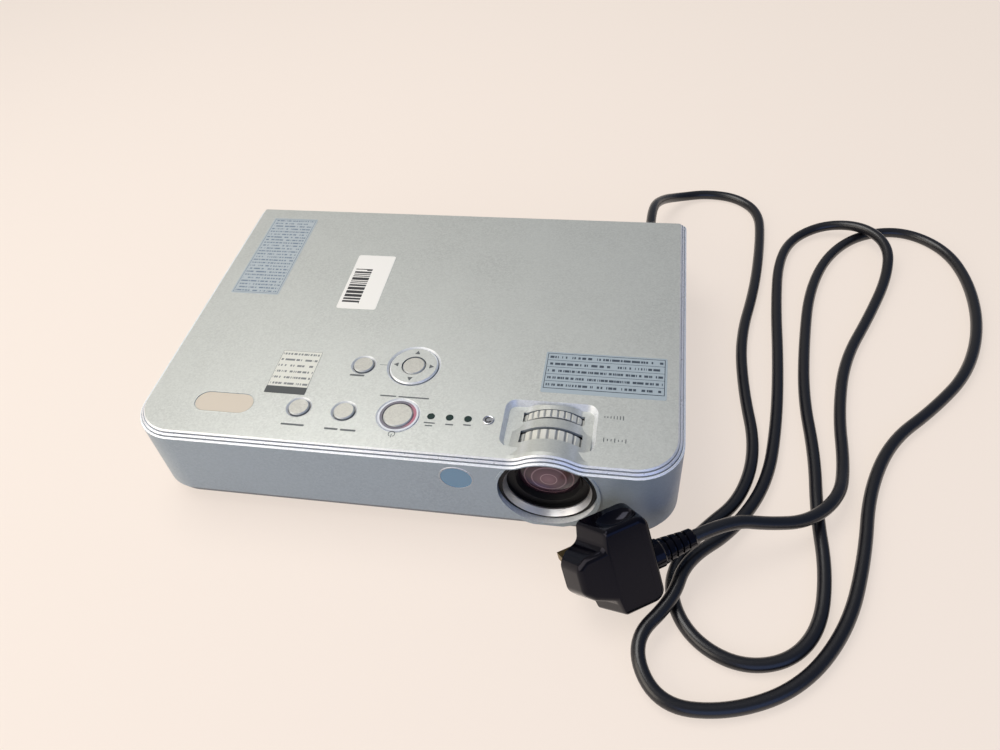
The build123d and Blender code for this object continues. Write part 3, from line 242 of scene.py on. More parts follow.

# %% [markdown]
# ## Finishes of the case
# The case is moulded ABS, sprayed with silver paint that holds fine aluminium flake under a clear binder, so it
# reflects softly and glitters a little. Light and shade are painted into its colour: a colour ramp on how far a face
# looks upward gives flats and bevels a lit tone and walls a darker, shaded one.
# Real flake and mould grain are finer than 0.1 mm, too fine to show here. Both are drawn as coarse as they need to be
# to show.

# %% Painted finishes


def flake_paint(name, lit_flat_colour, lit_slope_colour, shaded_wall_colour, metallic, roughness, flake_mm=0.9, cloud_mm=40):
    """Silver paint with flakes that differ in tone and gloss, wider clouds, and painted light and shade by facing."""
    material, tree, shader = new_material(name, metallic=metallic, roughness=roughness,
                                          coat_weight=0.25, coat_roughness=0.35)
    place = add(tree, "ShaderNodeTexCoord")
    facing = add(tree, "ShaderNodeNewGeometry")
    upward = add(tree, "ShaderNodeSeparateXYZ", {0: facing.outputs["Normal"]})
    # Painted light and shade: the tone follows how far the face looks upward.
    tones = add(tree, "ShaderNodeValToRGB", {0: upward.outputs["Z"]})
    stops = tones.color_ramp.elements
    for position, tone in ((0.22, shaded_wall_colour), (0.40, lit_slope_colour), (0.82, lit_slope_colour), (0.92, lit_flat_colour)):
        stop = stops.new(position)
        stop.color = hex_colour(tone)
    stops.remove(stops[0])
    stops.remove(stops[len(stops) - 1])
    flakes = add(tree, "ShaderNodeTexVoronoi", {"Vector": place.outputs["Object"], "Scale": 1 / (flake_mm * MM)})
    tone = add(tree, "ShaderNodeSeparateColor", {"Color": flakes.outputs["Color"]})
    clouds = add(tree, "ShaderNodeTexNoise",
                 {"Vector": place.outputs["Object"], "Scale": 1 / (cloud_mm * MM), "Detail": 3.0})
    blend = add(tree, "ShaderNodeMath", {0: tone.outputs[0], 1: clouds.outputs["Fac"]}, operation="MULTIPLY")
    shade = add(tree, "ShaderNodeMapRange", {"Value": blend.outputs[0], "To Min": 1.04, "To Max": 0.80})
    colours = add(tree, "ShaderNodeVectorMath", {0: tones.outputs["Color"], "Scale": shade.outputs[0]},
                  operation="SCALE")
    tree.links.new(colours.outputs[0], shader.inputs["Base Color"])
    gloss = add(tree, "ShaderNodeMapRange",
                {"Value": tone.outputs[1], "To Min": roughness - 0.05, "To Max": roughness + 0.08})
    tree.links.new(gloss.outputs[0], shader.inputs["Roughness"])
    bump = add(tree, "ShaderNodeBump", {"Height": tone.outputs[2], "Strength": 0.08, "Distance": 0.02 * MM})
    tree.links.new(bump.outputs[0], shader.inputs["Normal"])
    return material


# %% Paints
silver_top = flake_paint("silver_flake_paint_on_abs", "CACDC8", "E9ECEF", "AEB6BE", 0.45, 0.4)
# The rim is painted lighter than the top as a highlight on its edge.
silver_rim = flake_paint("silver_rim_paint_with_painted_highlight", "E4E8F0", "E4E8F0", "9AA3AC", 0.4, 0.32)
# The case's ledges are painted near white as light, and its walls darker and bluer as shade.
case_silver_with_painted_shade = flake_paint("silver_paint_with_painted_light_and_blue_shade", "EEF3F8", "EEF3F8", "909EA9", 0.25, 0.42)
silver_key = flake_paint("silver_key_paint", "C6C5BC", "B9BDBE", "7C8288", 0.3, 0.38)
print("paints", silver_top.name, silver_rim.name, case_silver_with_painted_shade.name, silver_key.name)

# %% [markdown]
# ## Plastics, rubber and metals
# The small parts are moulded, cast or turned, and each way leaves its own fine grain. A flat colour would look like
# toy plastic. One function lays a noise over the surface that varies its gloss and raises it a little, and each
# material sets the width of the grain, the roughness and the height of the bump.

# %% Grained finish


def grained(name, colour, grain_mm, roughness, bump_mm=0.04, **inputs):
    """A surface with the fine grain that its mould, casting or tool gives it."""
    material, tree, shader = new_material(name, base_color=hex_colour(colour), **inputs)
    place = add(tree, "ShaderNodeTexCoord")
    grain = add(tree, "ShaderNodeTexNoise",
                {"Vector": place.outputs["Object"], "Scale": 1 / (grain_mm * MM), "Detail": 2.0})
    gloss = add(tree, "ShaderNodeMapRange",
                {"Value": grain.outputs["Fac"], "To Min": roughness - 0.08, "To Max": roughness + 0.08})
    tree.links.new(gloss.outputs[0], shader.inputs["Roughness"])
    bump = add(tree, "ShaderNodeBump", {"Height": grain.outputs["Fac"], "Strength": 0.4, "Distance": bump_mm * MM})
    tree.links.new(bump.outputs[0], shader.inputs["Normal"])
    return material


# %% Plastics and rubber
# ABS from a spark-eroded mould: a broken, even sheen.
grey_tray = grained("grey_grained_abs", "5D646B", 0.8, 0.55)
black_plastic = grained("black_satin_abs", "141416", 0.6, 0.42)
# The plastic round a lens is kept matte, so that it gives little light back.
lens_black = grained("matte_black_lens_plastic", "08080B", 0.6, 0.6, specular_ior_level=0.3)
# Extruded PVC sheath: a soft shine along the lead.
cord_rubber = grained("black_pvc_sheath", "0B0B12", 1.2, 0.34, coat_weight=0.3, coat_roughness=0.22)
# PVC from a polished mould: nearly smooth, with clear highlights on its round edges.
# Its blue specular tint paints a bluish sheen into its reflections.
plug_rubber = grained("black_moulded_pvc_plug", "040409", 0.5, 0.13, 0.02,
                      specular_ior_level=0.3, specular_tint=hex_colour("C4C4DC"))
# Soft feet: dull, with hardly any highlight.
foot_rubber = grained("matte_rubber_feet", "161617", 0.6, 0.8)
# Solder mask: a lacquer that follows the tracks under it.
board_green = grained("green_solder_mask", "1F5A33", 1.5, 0.35)
# Glass-filled plastic that stands the lamp's heat: dull and sandy.
lamp_shell = grained("heat_proof_lamp_plastic", "8F8672", 1.0, 0.6)
# Foam cut through its cells: rough, with deep pits.
foam = grained("open_cell_filter_foam", "2B2B2D", 1.2, 0.9, 0.4)
print("plastics and rubber, last", foam.name)

# %% Metals
# Die casting: grey, with a sandy skin.
cast_alloy = grained("cast_aluminium_engine", "B4B6B8", 1.0, 0.45, metallic=1.0)
# Nickel over stamped steel: smooth and bright.
plated_steel = grained("nickel_plated_steel", "B9BABC", 0.8, 0.3, 0.01, metallic=1.0)
# Turned brass is clean and yellow, and pins that are often handled turn brown.
brass = grained("turned_brass", "C9A45C", 0.8, 0.3, 0.01, metallic=1.0)
aged_brass = grained("aged_brass_pins", "7C6A42", 0.8, 0.42, 0.01, metallic=1.0)
# Polished chrome mirrors the room, and etched and anodised aluminium only takes its brightness.
chrome = grained("polished_chrome_ring", "DCDEE2", 0.8, 0.16, 0.005, metallic=1.0)
satin_metal = grained("satin_anodised_ring", "F0F1F3", 0.5, 0.38, 0.01, metallic=1.0)
print("metals, last", satin_metal.name)

# %% Clear plastics and glass
# A dyed light guide: dark while its lamp is off, under a glossy face.
led_green = grained("dark_green_light_guide", "16302C", 0.4, 0.15, 0.01, coat_weight=0.6)
# Infrared plastic looks opaque to the eye, with a glossy skin.
window_filter = grained("blue_grey_infrared_filter", "527E9C", 0.4, 0.22, 0.01, coat_weight=0.5, coat_roughness=0.1)
# Ground and polished glass: clear, and almost a mirror.
optics = grained("clear_optical_glass", "E6EAF2", 2.0, 0.04, 0.0, transmission_weight=0.9)
print("clear finishes, last", optics.name)

# %% [markdown]
# ## Ring round the power key
# The ring is clear acrylic with a pale outer border, over a small red lamp that sits at its right. A light source in
# the scene would spill on the case, so the glow is painted as emission, which fades across the ring from the right.

# %% Lit ring
power_key = in_mm(-0.6, -78.7, 60)
border_radius = 9.9 * MM
light_ring, tree, shader = new_material("red_lit_acrylic_ring", roughness=0.25, coat_weight=0.5, coat_roughness=0.1)
place = add(tree, "ShaderNodeTexCoord")
across = add(tree, "ShaderNodeSeparateXYZ", {0: place.outputs["Object"]})
lamp_side = add(tree, "ShaderNodeMapRange",
                {"Value": across.outputs["X"], "From Min": 2.0 * MM, "From Max": 9.5 * MM, "To Max": 0.4},
                interpolation_type="SMOOTHSTEP")
at_key = add(tree, "ShaderNodeVectorMath", {0: place.outputs["Object"], 1: power_key}, operation="DISTANCE")
outer = add(tree, "ShaderNodeMath", {0: at_key.outputs["Value"], 1: border_radius}, operation="GREATER_THAN")
ring_tone = add(tree, "ShaderNodeMix", {0: outer.outputs[0], "A": hex_colour("77747E"), "B": hex_colour("E2E5EA")},
                data_type="RGBA")
tree.links.new(ring_tone.outputs["Result"], shader.inputs["Base Color"])
glow = add(tree, "ShaderNodeMath", {0: outer.outputs[0], 1: -1.0, 2: 1.0}, operation="MULTIPLY_ADD")
glow = add(tree, "ShaderNodeMath", {0: glow.outputs[0], 1: lamp_side.outputs[0]}, operation="MULTIPLY")
shader.inputs["Emission Color"].default_value = hex_colour("E02A50")
tree.links.new(glow.outputs[0], shader.inputs["Emission Strength"])
print("lit ring", len(tree.nodes), "nodes")

# %% [markdown]
# ## Dials and front glass
# Dials and lens turn about one axis, so the painted shade in the dials' grooves and the painted reflections of the
# elements' edges behind the coated glass are all circles about it. A picture of rings would need a UV map. The distance
# from the axis gives the same circles on any mesh, and one small function works it out for all three finishes.

# %% Distance from the lens axis
lens_axis = in_mm(81.2, 0, 40)


def from_axis(tree, place):
    """Distance of each point from the lens axis, which runs along Y."""
    at_axis = add(tree, "ShaderNodeVectorMath", {0: place.outputs["Object"], 1: lens_axis}, operation="SUBTRACT")
    flattened = add(tree, "ShaderNodeVectorMath", {0: at_axis.outputs[0], 1: (1, 0, 1)}, operation="MULTIPLY")
    return add(tree, "ShaderNodeVectorMath", {0: flattened.outputs[0]}, operation="LENGTH").outputs["Value"]


# %% Dial plastic


def dial_plastic(name, radius_mm):
    """Pale silver plastic whose grooves, 0.7 mm below the radius, are painted darker as shade."""
    material, tree, shader = new_material(name, roughness=0.4)
    place = add(tree, "ShaderNodeTexCoord")
    reach = from_axis(tree, place)
    # Painted shade: the tone darkens towards the bottom of the grooves.
    share = add(tree, "ShaderNodeMapRange",
                {"Value": reach, "From Min": (radius_mm - 0.72) * MM, "From Max": (radius_mm - 0.3) * MM})
    grain = add(tree, "ShaderNodeTexNoise", {"Vector": place.outputs["Object"], "Scale": 1 / (0.5 * MM), "Detail": 2.0})
    bump = add(tree, "ShaderNodeBump", {"Height": grain.outputs["Fac"], "Strength": 0.3, "Distance": 0.03 * MM})
    tree.links.new(bump.outputs[0], shader.inputs["Normal"])
    tone = add(tree, "ShaderNodeMix", {0: share.outputs[0], "A": hex_colour("8D9091"), "B": hex_colour("D2D2CA")},
               data_type="RGBA")
    tree.links.new(tone.outputs["Result"], shader.inputs["Base Color"])
    return material


zoom_plastic = dial_plastic("silver_zoom_dial_plastic", 21.4)
focus_plastic = dial_plastic("silver_focus_dial_plastic", 22.0)
print("dials", zoom_plastic.name, focus_plastic.name)

# %% Coated glass
glass_radius_mm = 16
glass_with_painted_reflections, tree, shader = new_material("lens_glass_with_painted_reflections", roughness=0.12, specular_ior_level=0.35)
place = add(tree, "ShaderNodeTexCoord")
share = add(tree, "ShaderNodeMath", {0: from_axis(tree, place), 1: 1 / (glass_radius_mm * MM)}, operation="MULTIPLY")
# Painted reflections: the rings stand for the edges of the elements behind the glass and for its purple coating.
rings = add(tree, "ShaderNodeValToRGB", {0: share.outputs[0]})
stops = rings.color_ramp.elements
stops[0].color = hex_colour("7E6069")
stops[1].color = hex_colour("1D1219")
for radius, tone in ((3.9, "6C4E59"), (4.2, "A58A8F"), (4.6, "5F444F"), (8.4, "523A44"), (8.9, "957A82"),
                     (9.4, "46303A"), (12.3, "392730"), (12.8, "83686F"), (13.3, "2C1C25")):
    stop = stops.new(radius / glass_radius_mm)
    stop.color = hex_colour(tone)
tree.links.new(rings.outputs["Color"], shader.inputs["Base Color"])
print("coated glass", len(stops), "ring tones")

# %% [markdown]
# ## Giving the construction parts their finish
# Each part of the construction model is an object that already has a material slot. A rigid part whose shape is right
# stays as it is, and only what is in its slots changes. The list goes from finish to parts, so that it's easy to see
# which parts of the real object are made the same way.

# %% Assign finishes
finishes = {
    silver_top: ["top_panel", "nav_pad"],
    silver_rim: ["trim_band"],
    case_silver_with_painted_shade: ["upper_case"],
    grey_tray: ["bottom_tray", "lamp_cover", "filter_cover", "exhaust_grille"],
    silver_key: ["function_button", "input_button", "menu_button", "enter_button", "power_button"],
    led_green: ["indicator_guides"],
    window_filter: ["ir_window"],
    light_ring: ["power_light_ring"],
    chrome: ["light_sensor"],
    satin_metal: ["lens_trim_ring"],
    lens_black: ["lens_bezel", "lens_barrel", "focus_cell", "zoom_cell"],
    black_plastic: ["rear_panel", "mains_inlet", "switch_housing",
                    "main_switch", "signal_jacks", "exhaust_fan_frame", "exhaust_fan_rotor", "speaker", "nav_rocker"],
    plug_rubber: ["mains_plug", "plug_relief", "lead_connector", "connector_relief"],
    zoom_plastic: ["zoom_dial"],
    focus_plastic: ["focus_dial"],
    glass_with_painted_reflections: ["front_glass", "zoom_glass"],
    optics: ["prism_block", "lcd_panels"],
    plated_steel: ["case_screws", "data_ports"],
    brass: ["ceiling_mount_inserts", "inlet_pins"],
    aged_brass: ["plug_pins"],
    board_green: ["main_board", "io_board", "key_board", "power_supply", "key_switches"],
    cast_alloy: ["engine_housing", "engine_lid"],
    lamp_shell: ["lamp_module"],
    foot_rubber: ["rear_feet", "front_foot_left", "front_foot_right"],
    foam: ["intake_filter"],
}
for material, names in finishes.items():
    for name in names:
        for material_slot in nodes[name].material_slots:
            material_slot.material = material
finished = [name for names in finishes.values() for name in names]
print("without a finish", sorted(set(nodes) - set(finished)))

# %% [markdown]
# ## Helpers for modelling
# New pieces start as a primitive at its size and place, and are shaped in edit mode. Everything is deselected first,
# because an operator acts on all that is selected. A finished piece keeps its place in its mesh, with its object at the
# origin, as the construction parts do.

# %% Start and end of a piece


def begin():
    """Leaves edit mode and deselects everything."""
    if bpy.context.object and bpy.context.object.mode != "OBJECT":
        bpy.ops.object.mode_set(mode="OBJECT")
    bpy.ops.object.select_all(action="DESELECT")


def settle(name, material, body, angle=35.0):
    """Names the active piece, puts its place in its mesh, shades it, and lets it ride on its body."""
    begin()
    piece = bpy.context.view_layer.objects.active
    piece.select_set(True)
    bpy.ops.object.transform_apply(location=True, rotation=True, scale=True)
    bpy.ops.object.shade_smooth_by_angle(angle=math.radians(angle))
    piece.name = name
    piece.data.materials.clear()
    piece.data.materials.append(material)
    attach(piece, body)
    return piece


def joined(name, pieces, material, body):
    """Joins pieces that were just made into one, and settles it."""
    begin()
    for piece in pieces:
        piece.select_set(True)
    bpy.context.view_layer.objects.active = pieces[0]
    bpy.ops.object.join()
    return settle(name, material, body)


# %% Choosing what an operator acts on


def choose(kind, test):
    """Selects the faces, edges or vertices of the edited mesh that pass a test.
    Places are in millimetres from the object's origin."""
    bpy.ops.object.mode_set(mode="OBJECT")
    mesh = bpy.context.object.data
    for part in (mesh.vertices, mesh.edges, mesh.polygons):
        part.foreach_set("select", [False] * len(part))
    if kind == "FACE":
        for face in mesh.polygons:
            face.select = test(face.center / MM, face.normal)
    elif kind == "EDGE":
        for edge in mesh.edges:
            edge.select = test(*(mesh.vertices[i].co / MM for i in edge.vertices))
    else:
        for vertex in mesh.vertices:
            vertex.select = test(vertex.co / MM)
    bpy.context.tool_settings.mesh_select_mode = (kind == "VERT", kind == "EDGE", kind == "FACE")
    bpy.ops.object.mode_set(mode="EDIT")


# %% Blocks and plates


def block(middle, size):
    """A box from its middle and its size in millimetres."""
    begin()
    bpy.ops.mesh.primitive_cube_add(size=1.0, location=in_mm(*middle))
    bpy.context.object.scale = in_mm(*size)
    bpy.ops.object.transform_apply(location=True, rotation=False, scale=True)


def round_upright_edges(height, radius, segments):
    """Rounds the corners of a plate of that height, seen from above, and leaves edit mode. All in millimetres."""
    choose("EDGE", lambda a, b: abs(a.z - b.z) > height / 2)
    bpy.ops.mesh.bevel(offset=radius * MM, segments=segments, profile=0.5)
    bpy.ops.object.mode_set(mode="OBJECT")


def thin_plate(name, low_corner, high_corner, radius, material, segments=4):
    """Flat plate with rounded corners on the case, from its lowest to its highest corner in millimetres."""
    block([(a + b) / 2 for a, b in zip(low_corner, high_corner)], [b - a for a, b in zip(low_corner, high_corner)])
    round_upright_edges(high_corner[2] - low_corner[2], radius, segments)
    return settle(name, material, "case")


# %% Rings


def ring(radius, thickness, centre, around=48, across=10, turn_x=0.0):
    """A torus: radius of its middle line and of its section, and its centre, in millimetres. Its turn in degrees."""
    begin()
    bpy.ops.mesh.primitive_torus_add(major_radius=radius * MM, minor_radius=thickness * MM, major_segments=around,
                                     minor_segments=across, location=in_mm(*centre),
                                     rotation=(math.radians(turn_x), 0, 0))
    return bpy.context.object


def cut_ring(test):
    """Deletes the faces of the active ring that pass a test, and closes the two ends that this leaves open."""
    choose("FACE", test)
    bpy.ops.mesh.delete(type="FACE")
    bpy.ops.mesh.select_mode(type="EDGE")
    bpy.ops.mesh.select_all(action="SELECT")
    bpy.ops.mesh.fill_holes(sides=0)
    bpy.ops.object.mode_set(mode="OBJECT")


# %% [markdown]
# ## Stickers on the top
# A sticker is a sheet of coated film a tenth of a millimetre thick, with rounded corners. Its print could be an image,
# but ruled lines worked out from real line spacings stay sharp at any size. The rows hold plain broken lines only.

# %% Distance outside a box


def beyond_box(tree, parts, box):
    """How far each point lies outside a box (x low, x high, y low, y high in millimetres). It's negative inside."""
    beyond = []
    for axis, low, high in ((0, box[0], box[1]), (1, box[2], box[3])):
        off = add(tree, "ShaderNodeMath", {0: parts.outputs[axis], 1: (low + high) / 2 * MM}, operation="SUBTRACT")
        off = add(tree, "ShaderNodeMath", {0: off.outputs[0]}, operation="ABSOLUTE")
        beyond.append(add(tree, "ShaderNodeMath", {0: off.outputs[0], 1: (high - low) / 2 * MM}, operation="SUBTRACT"))
    return add(tree, "ShaderNodeMath", {0: beyond[0].outputs[0], 1: beyond[1].outputs[0]}, operation="MAXIMUM")


# %% Printed film


def ruled_film(name, film, ink, box, pitch_mm, line_mm, dash_mm, divider_mm=0.0, border_mm=0.0):
    """Coated film. Inside the box rows of dashes repeat every pitch_mm, with a divider between rows and a border
    round the box where they have a width."""
    material, tree, shader = new_material(name, roughness=0.38, coat_weight=0.2, coat_roughness=0.3)
    place = add(tree, "ShaderNodeTexCoord")
    parts = add(tree, "ShaderNodeSeparateXYZ", {0: place.outputs["Object"]})
    edge = beyond_box(tree, parts, box)
    inside = add(tree, "ShaderNodeMath", {0: edge.outputs[0], 1: 0.0}, operation="LESS_THAN")
    text_area = add(tree, "ShaderNodeMath", {0: edge.outputs[0], 1: -2.5 * border_mm * MM}, operation="LESS_THAN")
    border = add(tree, "ShaderNodeMath", {0: edge.outputs[0], 1: 0.0, 2: border_mm / 2 * MM}, operation="COMPARE")
    height = add(tree, "ShaderNodeMath", {0: parts.outputs[1], 1: box[2] * MM}, operation="SUBTRACT")
    rows = add(tree, "ShaderNodeMath", {0: height.outputs[0], 1: pitch_mm * MM}, operation="DIVIDE")
    within = add(tree, "ShaderNodeMath", {0: rows.outputs[0]}, operation="FRACT")
    line = add(tree, "ShaderNodeMath", {0: within.outputs[0], 1: 0.5, 2: line_mm / pitch_mm / 2}, operation="COMPARE")
    divider = add(tree, "ShaderNodeMath", {0: within.outputs[0], 1: 0.0, 2: divider_mm / pitch_mm}, operation="COMPARE")
    divider = add(tree, "ShaderNodeMath", {0: divider.outputs[0], 1: inside.outputs[0]}, operation="MULTIPLY")
    row_number = add(tree, "ShaderNodeMath", {0: rows.outputs[0]}, operation="FLOOR")
    row_place = add(tree, "ShaderNodeMath", {0: row_number.outputs[0], 1: 0.73, 2: 0.37}, operation="MULTIPLY_ADD")
    across = add(tree, "ShaderNodeMath", {0: parts.outputs[0], 1: 1 / (dash_mm * MM)}, operation="MULTIPLY")
    at = add(tree, "ShaderNodeCombineXYZ", {0: across.outputs[0], 1: row_place.outputs[0]})
    noise = add(tree, "ShaderNodeTexNoise", {"Vector": at.outputs[0], "Scale": 1.0, "Detail": 0.0})
    dash = add(tree, "ShaderNodeMath", {0: noise.outputs["Fac"], 1: 0.46}, operation="GREATER_THAN")
    print_mask = add(tree, "ShaderNodeMath", {0: line.outputs[0], 1: dash.outputs[0]}, operation="MULTIPLY")
    print_mask = add(tree, "ShaderNodeMath", {0: print_mask.outputs[0], 1: text_area.outputs[0]}, operation="MULTIPLY")
    print_mask = add(tree, "ShaderNodeMath", {0: print_mask.outputs[0], 1: divider.outputs[0]}, operation="MAXIMUM")
    if border_mm:
        print_mask = add(tree, "ShaderNodeMath", {0: print_mask.outputs[0], 1: border.outputs[0]}, operation="MAXIMUM")
    inked = add(tree, "ShaderNodeMix", {0: print_mask.outputs[0], "A": hex_colour(film), "B": hex_colour(ink)},
                data_type="RGBA")
    tree.links.new(inked.outputs["Result"], shader.inputs["Base Color"])
    return material


# %% Films of the stickers
notice_film = ruled_film("blue_notice_film", "A7B4BB", "3C4753", (73.3, 137.2, -51.8, -25.6),
                         pitch_mm=5.24, line_mm=1.7, dash_mm=0.9, divider_mm=0.3, border_mm=0.4)
plate_film = ruled_film("blue_rating_film", "B3BCC0", "6F7F90", (-132.8, -103.2, 12.2, 89.8),
                        pitch_mm=3.1, line_mm=1.3, dash_mm=0.9, border_mm=0.4)
# Dashes far longer than the film make each row a whole bar or a whole gap.
asset_film = ruled_film("white_paper_film", "F4F2EC", "2C2C2E", (-59.0, -48.0, 6.0, 40.0),
                        pitch_mm=0.85, line_mm=0.85, dash_mm=500.0)
table_film = ruled_film("pale_table_film", "DEDED4", "7A7E7E", (-80.0, -56.5, -64.6, -36.9),
                        pitch_mm=4.6, line_mm=1.5, dash_mm=0.9, border_mm=0.25)
header_ink = grained("dark_header_ink", "45494A", 0.3, 0.4, 0.01)
print("films", notice_film.name, plate_film.name, asset_film.name, table_film.name)

# %% Stickers
top_z = 60.0
for name, low_corner, high_corner, radius, film in (
        ("notice_sticker", (72.1, -55.0, top_z), (138.4, -24.4, top_z + 0.1), 1.0, notice_film),
        ("rating_sticker", (-134.0, 11.0, top_z), (-102.0, 91.0, top_z + 0.1), 1.0, plate_film),
        ("asset_sticker", (-61.0, 2.0, top_z), (-36.0, 54.0, top_z + 0.12), 1.5, asset_film),
        ("table_sticker", (-80.2, -69.8, top_z), (-56.3, -36.6, top_z + 0.08), 0.6, table_film),
        ("table_header", (-80.2, -69.8, top_z + 0.08), (-56.3, -64.6, top_z + 0.12), 0.4, header_ink)):
    sticker = thin_plate(name, low_corner, high_corner, radius, film)
    print(name, tuple(round(n / MM, 2) for n in sticker.dimensions), "mm")

# %% [markdown]
# ## Bare plate in the recess
# The shallow slot-shaped recess at the front left holds a thin plate of pale moulded plastic, which is left bare, and
# a fine lip runs round it. Sweeping a small circle round the slot would give the lip. A thin ring with its two halves
# moved apart and pressed flat gives the same shape in three steps.

# %% Recess plate
pale_plastic = grained("pale_peach_plastic", "D3C8B7", 0.6, 0.4)
recess_plate = thin_plate("recess_plate", (-116.4, -85.7, 59.5), (-83.2, -72.3, 59.75), 6.6, pale_plastic, 12)
print("recess plate", len(recess_plate.data.polygons), "faces")

# %% Recess lip
lip_centre = (-99.8, -79, 59.98)
half_straight = 10
ring(7.3, 0.22, lip_centre, across=8)
for side in (-1, 1):
    choose("VERT", lambda at: at.x * side > 0.01)
    bpy.ops.transform.translate(value=(side * half_straight * MM, 0, 0))
bpy.ops.mesh.select_all(action="SELECT")
bpy.ops.transform.resize(value=(1, 1, 0.4), center_override=in_mm(*lip_centre))
recess_rim = settle("recess_rim", silver_top, "case")
print("recess lip", len(recess_rim.data.polygons), "faces")

# %% [markdown]
# ## Marks beside the controls
# The marks are pad printed: ink a few hundredths of a millimetre thick. They are plain bars and ticks, one arrow for
# each direction of the pad, and the usual ring with a bar beside the power key. A text object would give letters, and
# none belong here, so each bar is a thin box with bevelled corners, and all of them are joined to one piece.

# %% Printed marks
mark_ink = grained("grey_pad_print_ink", "5A5F61", 0.3, 0.45, 0.01)
ink_mm = 0.05
tick_width = 0.45


def bar(centre, size):
    """One printed bar with bevelled corners on the case: its centre and size in millimetres."""
    block((*centre, top_z + ink_mm / 2), (*size, ink_mm))
    round_upright_edges(ink_mm, min(size) * 0.3, 2)
    return bpy.context.object


def tick_row(x0, x1, y, heights):
    """Row of upright ticks between x0 and x1."""
    step = (x1 - x0) / (len(heights) - 1)
    return [bar((x0 + i * step, y), (tick_width, height)) for i, height in enumerate(heights)]


# %% Bars and ticks
# Ticks beside the two dials.
marks = tick_row(107.5, 117.0, -69.2, [1.0, 1.3, 1.6, 1.9, 2.2, 2.5, 2.8])
marks += tick_row(108.0, 119.0, -84.2, [2.6, 1.4, 1.4, 2.6, 1.4, 1.4, 2.6])
for centre, size in (
        # Below the two front keys at the left, and below the key beside the pad.
        ((-55.8, -90.8), (13.0, 1.2)), ((-34.0, -91.5), (7.5, 1.2)), ((-24.6, -91.6), (8.5, 1.2)),
        ((-31.2, -52.3), (8.5, 1.2)),
        # Between the pad and the power key.
        ((-9.5, -65.8), (9.0, 0.9)), ((4.8, -65.8), (17.0, 0.9)),
        # Below the three indicators.
        ((17.3, -82.3), (6.0, 0.8)), ((17.3, -84.2), (4.0, 0.8)), ((28.0, -82.4), (4.2, 0.8)),
        ((37.3, -81.8), (4.2, 0.8)),
        # From the key beside the pad to the pad.
        ((-18.2, -43.0), (4.6, 0.3))):
    marks.append(bar(centre, size))
key_marks = joined("key_marks", marks, mark_ink, "case")
print("marks", len(key_marks.data.polygons), "faces")

# %% Arrows of the direction pad
pad_x, pad_y = -0.7, -42.3
arrow_reach = 9.9
arrow_mm = 0.06
arrows = []
for turn in (0, 90, 180, 270):
    begin()
    angle = math.radians(turn + 90)
    centre = (pad_x + arrow_reach * math.cos(angle), pad_y + arrow_reach * math.sin(angle))
    bpy.ops.mesh.primitive_cylinder_add(vertices=3, radius=1.8 * MM, depth=arrow_mm * MM,
                                        location=in_mm(*centre, 60.42), rotation=(0, 0, math.radians(turn)))
    round_upright_edges(arrow_mm, 0.25, 3)
    arrows.append(bpy.context.object)
pad_arrows = joined("pad_arrows", arrows, mark_ink, "direction_pad")
print("arrows", len(pad_arrows.data.polygons), "faces")

# %% Power symbol
symbol_ring = ring(1.7, 0.22, (-0.8, -91.6, top_z), around=32, across=6)
symbol_ring.scale = (1, 1, 0.25)
half_gap = 0.35  # radians
cut_ring(lambda at, facing: abs(math.atan2(at.x, -at.y)) < half_gap)
power_symbol = joined("power_symbol", [symbol_ring, bar((-0.8, -92.9), (tick_width, 2.2))], mark_ink, "case")
print("power symbol", len(power_symbol.data.polygons), "faces")

# %% [markdown]
# ## Rings round the sensor and the window
# Beside the dials sits a light sensor: a small polished ring with a dark arc inside it. The round infrared window in
# the front wall has a narrow painted rim. A turned profile would do for all three, but a torus already has the right
# section. The crests of the two rings are pulled in a little, and the arc is a flattened ring with a stretch cut out.

# %% Sensor ring
sensor_centre = (47.9, -77.3, 60.2)
ring(2.75, 0.35, sensor_centre)
choose("VERT", lambda at: at.z > 0.15)
bpy.ops.transform.resize(value=(0.96, 0.96, 0.7), center_override=in_mm(*sensor_centre))
sensor_rim = settle("sensor_rim", chrome, "case")
print("sensor ring", len(sensor_rim.data.polygons), "faces")

# %% Window rim
window_centre = (34.5, -105, 45)
window_ring = ring(8.8, 0.45, window_centre, around=64, across=8, turn_x=90)
window_ring.scale = (1, 1, 0.6)
choose("VERT", lambda at: at.z > 0.1)
bpy.ops.transform.resize(value=(0.985, 1, 0.985), center_override=in_mm(*window_centre))
window_rim = settle("window_rim", silver_rim, "case")
print("window rim", len(window_rim.data.polygons), "faces")

# %% Sensor arc
sensor_dark = grained("dark_sensor_moulding", "2E3234", 0.3, 0.25, 0.01)
arc_ring = ring(1.55, 0.42, sensor_centre)
arc_ring.scale = (1, 1, 0.4)
bpy.ops.object.transform_apply(location=False, rotation=False, scale=True)
gap_middle, half_gap = 0.4, 0.9  # radians
cut_ring(lambda at, facing: abs(math.atan2(at.y, at.x) - gap_middle) < half_gap)
sensor_mark = settle("sensor_mark", sensor_dark, "case")
print("sensor arc", len(sensor_mark.data.polygons), "faces")

# %% [markdown]
# ## Plug
# The plug is moulded in soft black PVC over its pins, so every edge is round. It's modelled lying flat in its own
# axes, x towards the cord and z out of its back: a block, a narrower nose extruded from it, the back pulled in and
# sloped, all edges rounded, the pin face cut flat, and a finger hollow taken from each side. One matrix leans it.

